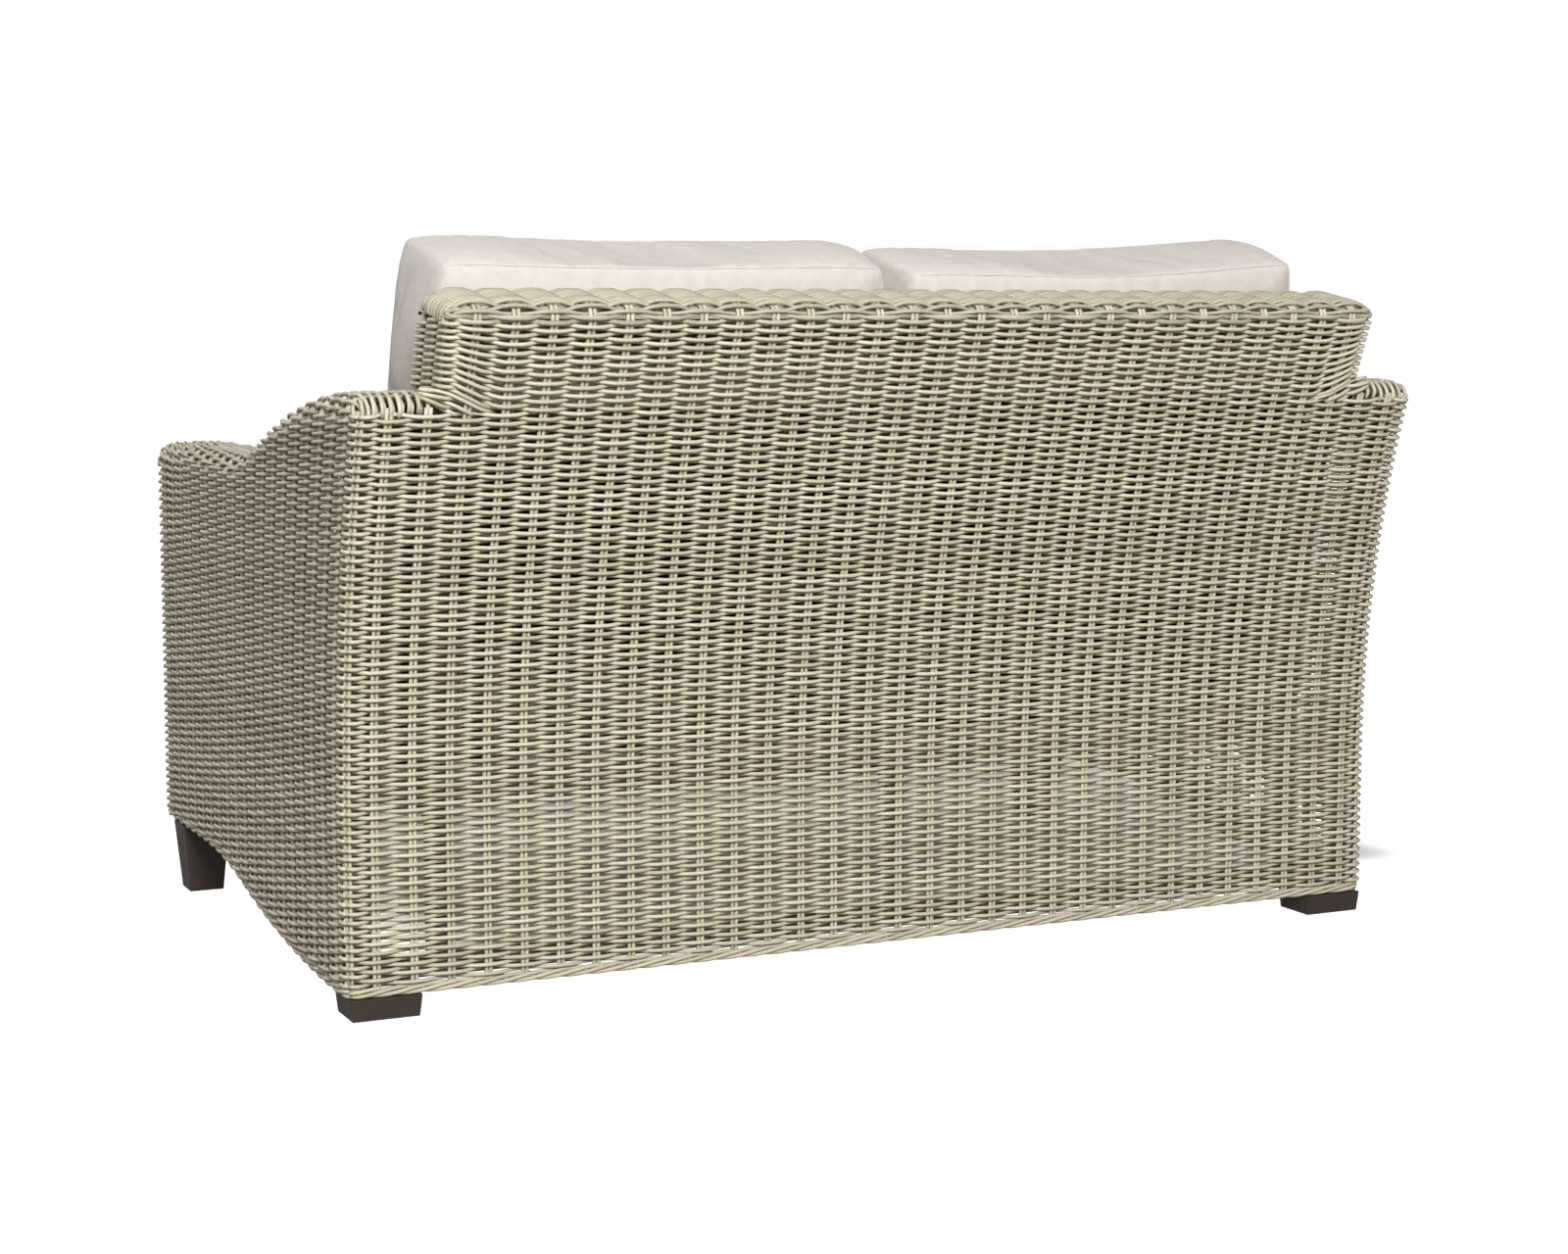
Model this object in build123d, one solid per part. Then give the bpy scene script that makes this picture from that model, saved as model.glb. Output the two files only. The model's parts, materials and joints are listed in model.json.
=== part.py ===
from build123d import *
import math
import os

# Millimetres. X runs across the seat, Y from the front to the back and Z up.
# The origin lies on the floor under the middle of the frame.

# Overall sizes
width = 1500.0
depth = 1079.0
arm_width = 114.0
back_thickness = 124.0

# Rear face: upright up to rake_start, then one long arc that leans back up to the top
rake_start = 230.0
rake_radius = 1515.0

# Top of the backrest: slopes down to the rear, between a tight rear edge and a full front edge
back_top_slope = 10.0
back_rear_edge = 22.0
back_front_edge = 40.0

# Arm line: level front, hollow valley, rounded crest
arm_rear_height = 757.0
arm_rise = 97.0
back_above_arms = 119.0
valley_run = 140.0
crest_run = 420.0
crest_to_rear = 61.0

# Lower edge of the sides: high at the front, swept down to the rear
front_skirt_height = 100.0
rear_skirt_height = 29.0
shoulder_run = 210.0
sweep_run = 480.0
sweep_to_rear = 16.0

# Woven skin
skin = 12.0
border_height = 14.0
outer_edge_radius = 28.0
inner_edge_radius = 22.0
outline_corner_radius = 30.0
panel_edge = 32.0
back_end_radius = 21.0
back_overlap = 14.0
underside_lip = 4.0
apron_setback = 12.0
apron_edge_radius = 8.0

# Main relief of the weave: level over each pair of stakes, hollow between two pairs
stake_pitch = 47.0
stake_pair = 10.0
corner_stake = 45.0
weave_relief = 4.5

# Frame of square tube
tube = 25.0
tube_wall = 2.0
frame_inset = 17.0
hoop_bend = 40.0
seat_rail_height = 40.0
deck_height = 290.0
seat_bar_places_share = (-0.5, 0.0, 0.5)
front_spreader_share = 0.22
rear_spreader_share = 0.93
back_rail_height_share = 0.55

# Legs and glides
leg_side_inset = 14.0
front_leg_setback = 65.0
front_leg_foot = 49.0
leg_taper = 8.6
leg_neck_inset = 12.0
leg_neck_inner_inset = 3.0
leg_skirt_gap = 0.3
rear_leg_width = 84.0
rear_leg_depth = 64.0
rear_leg_taper = 2.5
rear_leg_edge = 6.0
mount_plate = 4.0
bolt_shank_radius = 4.0
bolt_head_radius = 7.0
bolt_head_height = 6.0
bolt_reach = 22.0
bolt_clearance = 0.25
glide_radius = 18.0
glide_thickness = 4.0
glide_stand = 1.5
glide_clearance = 0.2

# Cushions
cushion_side_gap = 3.0
cushion_middle_gap = 4.0
cushion_rest_gap = 0.3
seat_cushion_height = 155.0
seat_cushion_crown = 15.0
seat_cushion_front_gap = 6.0
back_cushion_sink = 70.0
back_cushion_boxing = 156.0
back_cushion_crown = 18.0
back_cushion_lean = 13.0
cushion_above_back = 66.0
cushion_pull = 9.0
cushion_corner_radius = 26.0
cushion_edge_radius = 12.0
cover_thickness = 4.0
core_gap = 0.3

# Places worked out from the sizes above
half_width = width / 2
front_y = -depth / 2
arm_front_height = arm_rear_height - arm_rise
back_height = arm_rear_height + back_above_arms
arm_inner_x = half_width - arm_width
back_half = arm_inner_x + back_overlap
top_tilt = math.radians(back_top_slope)
front_reach = rake_radius + back_thickness - back_front_edge
front_turn = math.asin((back_height - back_front_edge - rake_start) / front_reach)
top_distance = back_front_edge + front_reach * math.sin(front_turn - top_tilt)
rear_reach = rake_radius + back_rear_edge
rear_turn = top_tilt + math.asin((top_distance - back_rear_edge) / rear_reach)
rear_face_y = depth / 2 - back_rear_edge - rake_radius + rear_reach * math.cos(rear_turn)
rake_centre_y = rear_face_y + rake_radius
deck_underside = deck_height - skin
rear_split_height = arm_rear_height - panel_edge
frame_x = half_width - frame_inset - tube
inner_frame_x = arm_inner_x + frame_inset
hoop_x = back_half - frame_inset - tube
apron_y = front_y + apron_setback
apron_rear_y = apron_y + skin


def rake(inset, height):
    """Y of the surface that lies inset in front of the rear face, at this height."""
    if height <= rake_start:
        return rear_face_y - inset
    rise = height - rake_start
    return rake_centre_y - math.sqrt((rake_radius + inset) ** 2 - rise**2)


def rake_arc(inset, low, high):
    """The raked arc at this inset between two heights."""
    middle = (low + high) / 2
    return ThreePointArc((rake(inset, low), low), (rake(inset, middle), middle), (rake(inset, high), high))


def rake_band(near, far, low, high):
    """The strip between two insets of the rear face, from low to high."""
    start = max(low, rake_start)
    lines = []
    if low < rake_start:
        lines.append(Line((rake(near, low), low), (rake(near, start), start)))
        lines.append(Line((rake(far, start), start), (rake(far, low), low)))
    lines.append(rake_arc(near, start, high))
    lines.append(Line((rake(near, high), high), (rake(far, high), high)))
    lines.append(rake_arc(far, start, high))
    lines.append(Line((rake(far, low), low), (rake(near, low), low)))
    return make_face(lines)


def area(y_low, y_high, z_low, z_high):
    """A plain rectangle in the side view."""
    centre = Pos((y_low + y_high) / 2, (z_low + z_high) / 2)
    return centre * Rectangle(y_high - y_low, z_high - z_low)


def across(outline, x_low, x_high):
    """Carry a side view outline across from x_low to x_high."""
    return Pos(x_low, 0, 0) * extrude(Plane.YZ * outline, amount=x_high - x_low)


def block(x_low, x_high, y_low, y_high, z_low, z_high):
    """A box given by its limits."""
    centre = Pos((x_low + x_high) / 2, (y_low + y_high) / 2, (z_low + z_high) / 2)
    return centre * Box(x_high - x_low, y_high - y_low, z_high - z_low)


def box_tube(x_low, x_high, y_low, y_high, z_low, z_high, along):
    """A straight rectangular tube that is open at both ends along one axis."""
    bore = [x_low, x_high, y_low, y_high, z_low, z_high]
    for axis in range(3):
        if axis != along:
            bore[2 * axis] += tube_wall
            bore[2 * axis + 1] -= tube_wall
    return block(x_low, x_high, y_low, y_high, z_low, z_high) - block(*bore)


def s_curve(start_y, start_z, first_run, second_run, end_z, shift):
    """Two tangent arcs, level at both ends, that swing from one height to another.

    The curve is moved up by shift along its own normal, so its arcs keep their centres.
    """
    rise = end_z - start_z
    turn = 2 * math.atan(abs(rise) / (first_run + second_run))
    side = math.copysign(1, rise)
    first_radius = first_run / math.sin(turn)
    second_radius = second_run / math.sin(turn)
    first_centre = (start_y, start_z + side * first_radius)
    second_centre = (start_y + first_run + second_run, end_z - side * second_radius)
    first_radius -= side * shift
    second_radius += side * shift

    def first(angle):
        y, z = first_centre
        return y + first_radius * math.sin(angle), z - side * first_radius * math.cos(angle)

    def second(angle):
        y, z = second_centre
        return y - second_radius * math.sin(angle), z + side * second_radius * math.cos(angle)

    return [
        ThreePointArc(first(0), first(turn / 2), first(turn)),
        ThreePointArc(first(turn), second(turn / 2), second(0)),
    ]


def s_height(y, start_y, start_z, first_run, second_run, end_z):
    """Height of that curve, with no shift, at y."""
    rise = end_z - start_z
    turn = 2 * math.atan(abs(rise) / (first_run + second_run))
    side = math.copysign(1, rise)
    if y < start_y + first_run:
        radius = first_run / math.sin(turn)
        run = max(y - start_y, 0)
        return start_z + side * (radius - math.sqrt(radius**2 - run**2))
    radius = second_run / math.sin(turn)
    run = max(start_y + first_run + second_run - y, 0)
    return end_z - side * (radius - math.sqrt(radius**2 - run**2))


def arm_line():
    """Start, runs and heights of the S line of the arm top."""
    crest_y = rake(0, arm_rear_height) - crest_to_rear
    return crest_y - crest_run - valley_run, arm_front_height, valley_run, crest_run, arm_rear_height


def arm_outline(inset=0.0, corner_radius=0.0):
    """Side view of an arm with its skirt: S line on top, swept line below, moved inwards by inset."""
    shoulder_y = rear_face_y - sweep_to_rear - sweep_run - shoulder_run
    top = s_curve(*arm_line(), -inset)
    bottom = s_curve(shoulder_y, front_skirt_height, shoulder_run, sweep_run, rear_skirt_height, inset)
    near = front_y + inset
    top_z = arm_rear_height - inset
    low_z = rear_skirt_height + inset
    front_top = (near, arm_front_height - inset)
    front_low = (near, front_skirt_height + inset)
    band = make_face(
        [
            Line(front_low, front_top),
            Line(front_top, top[0] @ 0),
            *top,
            Line(top[1] @ 1, (depth, top_z)),
            Line((depth, top_z), (depth, low_z)),
            Line((depth, low_z), bottom[1] @ 1),
            *bottom,
            Line(bottom[0] @ 0, front_low),
        ]
    )
    face = band & rake_band(inset, depth, 0, arm_rear_height)
    if corner_radius <= 0:
        return face
    corners = [front_top, (rake(inset, top_z), top_z)]
    picked = [face.vertices().sort_by_distance((y, z, 0))[0] for y, z in corners]
    return fillet(picked, corner_radius)


def arm_block(inset):
    """The rounded body of an arm, moved inwards by inset on every side."""
    outline = arm_outline(inset, outline_corner_radius - inset)
    body = across(outline, arm_inner_x + inset, half_width - inset)
    above = front_skirt_height + 2 * skin
    faces = body.faces().sort_by(Axis.X)
    outer = [e for e in faces[-1].edges() if e.bounding_box().max.Z > above]
    body = fillet(outer, outer_edge_radius - inset)
    faces = body.faces().sort_by(Axis.X)
    inner = [e for e in faces[0].edges() if e.bounding_box().max.Z > above]
    return fillet(inner, inner_edge_radius - inset)


def arm_regions():
    """Side view areas of the top, front and lower border of an arm."""
    sharp = arm_outline()
    top = sharp - arm_outline(panel_edge)
    top = top & area(front_y, depth, arm_front_height - panel_edge, depth)
    rear_wall = area(rear_face_y - panel_edge, depth, 0, rear_split_height)
    top = top - rear_wall
    border = (sharp - Pos(0, border_height) * sharp) & area(front_y, depth, 0, rake_start)
    front = (sharp & area(front_y, front_y + panel_edge, 0, depth)) - top - border
    side = sharp - top - border - front
    return top, border, front, side


def arm_skin():
    """Hollow woven shell of one arm, open underneath."""
    shell = arm_block(0) - arm_block(skin)
    lip = skin + underside_lip
    slot = block(
        arm_inner_x + lip,
        half_width - lip,
        front_y + lip,
        rear_face_y - lip,
        0,
        front_skirt_height + 2 * skin,
    )
    return shell - slot


def arm_panels():
    """The woven panels of the arm on the +X side."""
    shell = arm_skin()
    top, border, front, side = arm_regions()
    outer_x = half_width - outer_edge_radius
    rails = rail_spaces()
    seen_inside = side & rake_band(back_thickness - skin, depth, deck_height - skin - tube, arm_rear_height)
    rear_gap = block(0, outer_x, rear_face_y - skin - underside_lip, depth, 0, rear_split_height)
    return {
        "arm_top_weave": shell & across(top, arm_inner_x, half_width),
        "arm_front_weave": (shell & across(front, arm_inner_x, half_width)) - rails,
        "arm_outer_weave": (shell & across(side, outer_x, half_width)) - arm_hollows(),
        "arm_inner_weave": (shell & across(seen_inside, arm_inner_x, arm_inner_x + skin)) - rails,
        "side_border": (shell & across(border, arm_inner_x, half_width)) - rear_gap,
    }


def arm_hollows():
    """Hollows between the stake pairs on the outer side of the +X arm.

    Each is a V that leans with the rear wall and runs out under the edge of the arm top.
    """
    first_y = front_y + corner_stake
    spans = max(1, round((rake(corner_stake, 0) - first_y) / stake_pitch))
    hollows = []
    for span in range(spans):
        share = (span + 1 / 2) / spans
        top = s_height(first_y + share * (rake(corner_stake, arm_front_height) - first_y), *arm_line())
        top -= panel_edge
        middle_z = (rake_start + top - panel_edge) / 2
        sections = []
        for z in (0, rake_start, middle_z, top - panel_edge, top):
            run = rake(corner_stake, z) - first_y
            middle = first_y + share * run
            wide = run / spans - stake_pair
            outer = half_width + weave_relief
            tip = half_width - weave_relief
            if z == top:
                outer += weave_relief
                tip += weave_relief
            corners = ((outer, middle - wide), (tip, middle), (outer, middle + wide))
            sections.append(make_face(Pos(0, 0, z) * Polyline(*corners, close=True)))
        hollows.append(loft(sections, ruled=True))
    return hollows


def rail_spaces():
    """Where the front rails pass through the woven wall of an arm."""
    low = front_skirt_height + frame_inset
    seat_low = deck_underside - seat_rail_height
    spaces = block(0, inner_frame_x, apron_rear_y, apron_rear_y + tube, low, low + tube)
    return spaces + block(0, inner_frame_x, apron_rear_y, apron_rear_y + tube, seat_low, deck_underside)


def top_corner(reach, edge):
    """Centre of a rounded top edge of the backrest, and the angle at which the rake meets it."""
    turn = top_tilt + math.asin((top_distance - edge) / reach)
    return rake_centre_y - reach * math.cos(turn), rake_start + reach * math.sin(turn), turn


def back_outline(inset, rear_edge=back_rear_edge, front_edge=back_front_edge):
    """Side view of the backrest above rake_start: raked rear, sloped top with two rounded edges, raked front."""
    over = math.pi / 2 - top_tilt
    rear = top_corner(rake_radius + rear_edge, rear_edge)
    front = top_corner(rake_radius + back_thickness - front_edge, front_edge)
    sides = (
        (inset, rear, rear_edge - inset, -rear[2]),
        (back_thickness - inset, front, front_edge - inset, math.pi - front[2]),
    )
    lines = []
    ends = []
    for reach, corner, radius, angle in sides:
        y, z, turn = corner
        near, middle, top = [
            (y + radius * math.cos(place), z + radius * math.sin(place))
            for place in (angle, (angle + over) / 2, over)
        ]
        along = rake_radius + reach
        half = (rake_centre_y - along * math.cos(turn / 2), rake_start + along * math.sin(turn / 2))
        foot = (rear_face_y - reach, rake_start)
        lines += [ThreePointArc(foot, half, near), ThreePointArc(near, middle, top)]
        ends.append((foot, top))
    lines += [Line(ends[0][1], ends[1][1]), Line(ends[0][0], ends[1][0])]
    return make_face(lines)


def back_block(inset):
    """The rounded body of the backrest, moved inwards by inset."""
    half = back_half - inset
    body = across(back_outline(inset), -half, half)
    low = rake_start + skin
    for end in (-1, 0):
        face = body.faces().sort_by(Axis.X)[end]
        edges = [e for e in face.edges() if e.bounding_box().max.Z > low]
        body = fillet(edges, back_end_radius - inset)
    return body


def fluted(half, outer, inner):
    """Section of a woven panel: level over each pair of stakes, hollow between two pairs.

    X runs across the seat; Y is the distance from the line that the panel is turned about.
    """
    reach = half_width - corner_stake
    spans = max(1, round(2 * reach / stake_pitch))
    pitch = 2 * reach / spans
    hollow = outer + math.copysign(weave_relief, inner - outer)
    points = [(-half, inner), (-half, outer)]
    for span in range(spans):
        near = span * pitch - reach
        far = near + pitch
        if near >= -half and far <= half:
            points.append((near + stake_pair / 2, outer))
            points.append(((near + far) / 2, hollow))
            points.append((far - stake_pair / 2, outer))
    points += [(half, outer), (half, inner)]
    return make_face(Polyline(*points, close=True))


def radial_plane(centre_y, centre_z, angle):
    """Plane through a line along X; its Y axis points away from that line, angle above the rearward direction."""
    facing = (0, -math.sin(angle), math.cos(angle))
    return Plane(origin=(0, centre_y, centre_z), x_dir=(1, 0, 0), z_dir=facing)


def turned(section, centre_y, centre_z, angle, sweep):
    """Turn a section about a line along X, from one angle on by sweep."""
    axis = Axis((0, centre_y, centre_z), (math.copysign(1, sweep), 0, 0))
    plane = radial_plane(centre_y, centre_z, angle)
    return revolve(plane * section, axis, math.degrees(abs(sweep)))


def rear_wall(half, low, high):
    """Woven rear wall between two heights, upright and then along the rake up to the top edge."""
    section = fluted(half, rake_radius, rake_radius + skin)
    wall = turned(section, rake_centre_y, rake_start, math.pi, -rear_turn)
    if low < rake_start:
        foot = radial_plane(rake_centre_y, rake_start, math.pi) * section
        wall += extrude(foot, amount=rake_start - low)
    return wall & block(-half, half, 0, depth, low, high)


def back_top():
    """Woven top of the backrest: its rear edge, its slope and its front edge."""
    half = back_half - back_end_radius
    over = math.pi / 2 - top_tilt
    rear_y, rear_z, _ = top_corner(rear_reach, back_rear_edge)
    front_edge_y, front_z, _ = top_corner(front_reach, back_front_edge)
    section = fluted(half, back_rear_edge, back_rear_edge - skin)
    slope = (rear_y - front_edge_y) * math.cos(top_tilt) + (front_z - rear_z) * math.sin(top_tilt)
    top = turned(section, rear_y, rear_z, -rear_turn, rear_turn + over)
    top += extrude(radial_plane(rear_y, rear_z, over) * section, amount=slope)
    section = fluted(half, back_front_edge, back_front_edge - skin)
    return top + turned(section, front_edge_y, front_z, over, math.pi - front_turn - over)


def back_panels():
    """The woven panels of the backrest and the rear face."""
    shell = back_block(0) - back_block(skin)
    arm = arm_block(0)
    shell = shell - arm - mirror(arm, about=Plane.YZ)
    inside = back_half - back_end_radius
    rear_x = half_width - outer_edge_radius
    inner_top_z = rake_start + (rake_radius + back_thickness) * math.sin(front_turn)
    inner_low = rake_band(back_thickness - skin, back_thickness, deck_height, rear_split_height)
    inner_high = rake_band(back_thickness - skin, back_thickness, rear_split_height, inner_top_z)
    over = Pos(0, back_thickness / 2) * Rectangle(2 * back_thickness, back_thickness)
    edge_y, edge_z, _ = top_corner(front_reach, back_front_edge)
    inner_high = inner_high - Pos(edge_y, edge_z) * Rot(0, 0, -math.degrees(front_turn)) * over
    above = area(0, depth, rear_split_height, back_height + skin)
    end = shell & across(above, inside, back_half)
    return {
        "rear_lower_weave": rear_wall(rear_x, rear_skirt_height + border_height, rear_split_height),
        "rear_upper_weave": rear_wall(inside, rear_split_height, depth),
        "back_top_weave": back_top(),
        "back_inner_weave": across(inner_low, -arm_inner_x, arm_inner_x) + across(inner_high, -inside, inside),
        "left_back_end_weave": end,
        "right_back_end_weave": mirror(end, about=Plane.YZ),
        "rear_border": block(
            -rear_x,
            rear_x,
            rear_face_y - skin,
            rear_face_y,
            rear_skirt_height,
            rear_skirt_height + border_height,
        ),
    }


def seat_rail(y_low, y_high):
    """One of the two long rails that carry the deck."""
    low = deck_underside - seat_rail_height
    return box_tube(-inner_frame_x, inner_frame_x, y_low, y_high, low, deck_underside, 0)


def front_seat_rail():
    return seat_rail(apron_rear_y, apron_rear_y + tube)


def rear_seat_rail():
    rail_y = rear_face_y - back_thickness + frame_inset
    return seat_rail(rail_y, rail_y + tube)


def seat_frame():
    """Rails and bars under the deck, and the low rails that tie the sides."""
    front_end = apron_rear_y + tube
    rear_end = rear_face_y - back_thickness + frame_inset
    low = deck_underside - seat_rail_height
    post_y = rear_face_y - frame_inset - tube
    side_front = box_tube(hoop_x, hoop_x + tube, front_end, rear_end, low, deck_underside, 1)
    side_rear = box_tube(hoop_x, hoop_x + tube, rear_end + tube, post_y, low, deck_underside, 1)
    bars = None
    for place in seat_bar_places_share:
        middle = place * arm_inner_x
        bar = box_tube(
            middle - tube / 2,
            middle + tube / 2,
            front_end,
            rear_end,
            deck_underside - tube,
            deck_underside,
            1,
        )
        bars = bar if bars is None else bars + bar
    front_base = front_skirt_height + frame_inset
    rear_base = rear_skirt_height + frame_inset
    return {
        "front_seat_rail": front_seat_rail(),
        "rear_seat_rail": rear_seat_rail(),
        "left_seat_rail": side_front + side_rear,
        "right_seat_rail": mirror(side_front + side_rear, about=Plane.YZ),
        "seat_cross_bars": bars,
        "front_base_rail": box_tube(
            -inner_frame_x,
            inner_frame_x,
            apron_rear_y,
            apron_rear_y + tube,
            front_base,
            front_base + tube,
            0,
        ),
        "rear_base_rail": box_tube(-frame_x, frame_x, post_y, post_y + tube, rear_base, rear_base + tube, 0),
    }


def arm_ring(x_low):
    """Closed loop of square tube that follows the arm outline, before it is cut."""
    corner = outline_corner_radius - frame_inset
    band = arm_outline(frame_inset, corner) - arm_outline(frame_inset + tube)
    bore = arm_outline(frame_inset + tube_wall, corner - tube_wall)
    bore = bore - arm_outline(frame_inset + tube - tube_wall)
    return across(band, x_low, x_low + tube) - across(bore, x_low + tube_wall, x_low + tube - tube_wall)


def arm_frame():
    """Posts and rails of the +X arm."""
    post_y = front_y + frame_inset
    front_area = area(post_y, post_y + tube, 0, depth)
    rear_area = rake_band(frame_inset, frame_inset + tube, 0, arm_rear_height)
    top_area = area(front_y, depth, (arm_front_height + deck_height) / 2, depth)
    top_area = top_area - front_area - rear_area
    low_area = area(front_y, depth, 0, rake_start) - front_area - rear_area
    outer = arm_ring(frame_x)
    inner = arm_ring(inner_frame_x)
    span = (-width, width)
    pieces = {
        "arm_rail_outer": outer & across(top_area, *span),
        "arm_rail_inner": inner & across(top_area, *span),
        "front_post_outer": outer & across(front_area, *span),
        "front_post_inner": inner & across(front_area, *span),
        "rear_post": outer & across(rear_area, *span),
        "side_base_rail": outer & across(low_area, *span),
    }
    pieces["arm_spreaders"] = arm_spreaders()
    return pieces


def arm_spreaders():
    """Short tubes that hold the outer and the inner side of an arm apart."""
    x_low = inner_frame_x + tube
    first_y = front_y + front_spreader_share * depth
    second_y = front_y + rear_spreader_share * depth - tube
    base_y = front_y + frame_inset
    base_z = front_skirt_height + frame_inset
    tubes = box_tube(
        x_low,
        frame_x,
        first_y,
        first_y + tube,
        arm_front_height - frame_inset - tube,
        arm_front_height - frame_inset,
        0,
    )
    tubes += box_tube(
        x_low,
        frame_x,
        second_y - tube,
        second_y,
        arm_rear_height - frame_inset - tube,
        arm_rear_height - frame_inset,
        0,
    )
    tubes += box_tube(x_low, frame_x, base_y, base_y + tube, base_z, base_z + tube, 0)
    return tubes


def back_hoop(x_low):
    """Bent tube of the backrest: long rear leg, round top, short front leg."""
    foot = rear_skirt_height + frame_inset + tube
    inner = frame_inset + tube
    bends = (frame_inset + hoop_bend, frame_inset + hoop_bend)
    hoop = back_outline(frame_inset, *bends) - back_outline(inner, *bends)
    hoop = hoop & area(0, depth, rake_start, back_height)
    bore = back_outline(frame_inset + tube_wall, *bends) - back_outline(inner - tube_wall, *bends)
    bore = bore & area(0, depth, rake_start, back_height)
    rear_leg = rake_band(frame_inset, inner, foot, rake_start + tube)
    rear_bore = rake_band(frame_inset + tube_wall, inner - tube_wall, foot, rake_start + tube)
    cut = area(0, rear_face_y - back_thickness / 2, 0, deck_underside)
    solid = across((hoop + rear_leg) - cut, x_low, x_low + tube)
    return solid - across((bore + rear_bore) - cut, x_low + tube_wall, x_low + tube - tube_wall)


def back_frame():
    """Three hoops, and the top and middle rails between them."""
    rear_y, rear_z, _ = top_corner(rear_reach, back_rear_edge)
    down = back_rear_edge - frame_inset - tube / 2
    top_y = (rear_y + top_corner(front_reach, back_front_edge)[0]) / 2
    top_z = rear_z + (rear_y - top_y) * math.tan(top_tilt) + down / math.cos(top_tilt)
    middle_low = back_rail_height_share * back_height
    middle_y = rake(frame_inset + tube, middle_low + tube / 2)
    rails = None
    for x_low, x_high in ((tube / 2, hoop_x), (-hoop_x, -tube / 2)):
        for y_low, z_low in ((top_y - tube / 2, top_z - tube / 2), (middle_y, middle_low)):
            rail = box_tube(x_low, x_high, y_low, y_low + tube, z_low, z_low + tube, 0)
            rails = rail if rails is None else rails + rail
    return {
        "left_back_hoop": back_hoop(hoop_x),
        "middle_back_hoop": back_hoop(-tube / 2),
        "right_back_hoop": back_hoop(-hoop_x - tube),
        "back_rails": rails,
    }


def seat_deck():
    """Woven deck between the arms, notched round the feet of the hoops."""
    rear_y = rear_face_y - back_thickness + frame_inset + tube
    deck = block(-arm_inner_x, arm_inner_x, apron_rear_y, rear_y, deck_underside, deck_height)
    for x_low in (hoop_x, -tube / 2, -hoop_x - tube):
        deck -= back_hoop_solid(x_low)
    return deck


def back_hoop_solid(x_low):
    """Space that one hoop takes where it passes the deck."""
    rail_y = rear_face_y - back_thickness + frame_inset
    return block(x_low, x_low + tube, rail_y, rail_y + tube, deck_underside, deck_height)


def front_apron():
    """Woven panel under the front of the seat, with a softened top edge."""
    low = front_skirt_height + border_height
    apron = block(-arm_inner_x, arm_inner_x, apron_y, apron_rear_y, low, deck_height)
    edge = apron.faces().sort_by(Axis.Y)[0].edges().sort_by(Axis.Z)[-1]
    return fillet(edge, apron_edge_radius)


def tapered_leg(x_low, x_high, y_low, y_high, spread, top, neck_top):
    """A leg that widens upwards to a shoulder, with a narrower neck above it."""
    foot_centre = ((x_low + x_high) / 2, (y_low + y_high) / 2)
    foot_size = (x_high - x_low, y_high - y_low)
    foot = Pos(foot_centre[0], foot_centre[1], glide_stand) * Rectangle(*foot_size)
    head_size = [side + 2 * spread for side in foot_size]
    head = Pos(foot_centre[0], foot_centre[1], top) * Rectangle(*head_size)
    leg = loft([foot.face(), head.face()])
    neck = leg_neck_inset
    neck_x = x_low + leg_neck_inner_inset
    return leg + block(neck_x, x_high - neck, y_low + neck, y_high - neck, top - neck / 2, neck_top)


def leg_set(x_low, x_high, y_low, y_high, spread, skirt):
    """One leg with its plate, bolt and glide."""
    rail_z = skirt + frame_inset
    plate_z = rail_z - mount_plate
    centre = Pos((x_low + x_high) / 2, (y_low + y_high) / 2, 0)
    leg = tapered_leg(x_low, x_high, y_low, y_high, spread, skirt - leg_skirt_gap, plate_z)
    inset = leg_neck_inset
    plate = block(x_low, x_high - inset, y_low + inset, y_high - inset, plate_z, rail_z)
    bolt_edge = bolt_head_radius + bolt_clearance
    bolt_place = Pos(frame_x - bolt_edge, y_low + inset + bolt_edge, rail_z)
    shank_length = mount_plate + bolt_reach
    shank = bolt_place * Pos(0, 0, -shank_length / 2) * Cylinder(bolt_shank_radius, shank_length)
    head = bolt_place * Pos(0, 0, bolt_head_height / 2) * Cylinder(bolt_head_radius, bolt_head_height)
    hole_length = shank_length + bolt_clearance
    hole = bolt_place * Pos(0, 0, -hole_length / 2)
    hole = hole * Cylinder(bolt_shank_radius + bolt_clearance, hole_length)
    glide = centre * Pos(0, 0, glide_thickness / 2) * Cylinder(glide_radius, glide_thickness)
    pocket_height = glide_thickness - glide_stand
    pocket = centre * Pos(0, 0, glide_stand + pocket_height / 2)
    pocket = pocket * Cylinder(glide_radius + glide_clearance, pocket_height)
    return leg - hole - pocket, plate - hole, shank + head, glide


def legs():
    """Four legs, their plates, bolts and glides."""
    outer_x = half_width - leg_side_inset
    front_leg_y = front_y + front_leg_setback
    front = leg_set(
        outer_x - front_leg_foot,
        outer_x,
        front_leg_y,
        front_leg_y + front_leg_foot,
        leg_taper,
        front_skirt_height,
    )
    rear_leg_y = rear_face_y - rear_leg_edge
    rear = leg_set(
        outer_x - rear_leg_width,
        outer_x,
        rear_leg_y - rear_leg_depth,
        rear_leg_y,
        rear_leg_taper,
        rear_skirt_height,
    )
    pieces = {}
    for name, group in (("front", front), ("rear", rear)):
        pieces[f"{name}_left_leg"] = group[0]
        pieces[f"{name}_right_leg"] = mirror(group[0], about=Plane.YZ)
    for name, index in (("leg_plates", 1), ("leg_bolts", 2), ("foot_glides", 3)):
        pair = front[index] + rear[index]
        pieces[name] = pair + mirror(pair, about=Plane.YZ)
    return pieces


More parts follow.
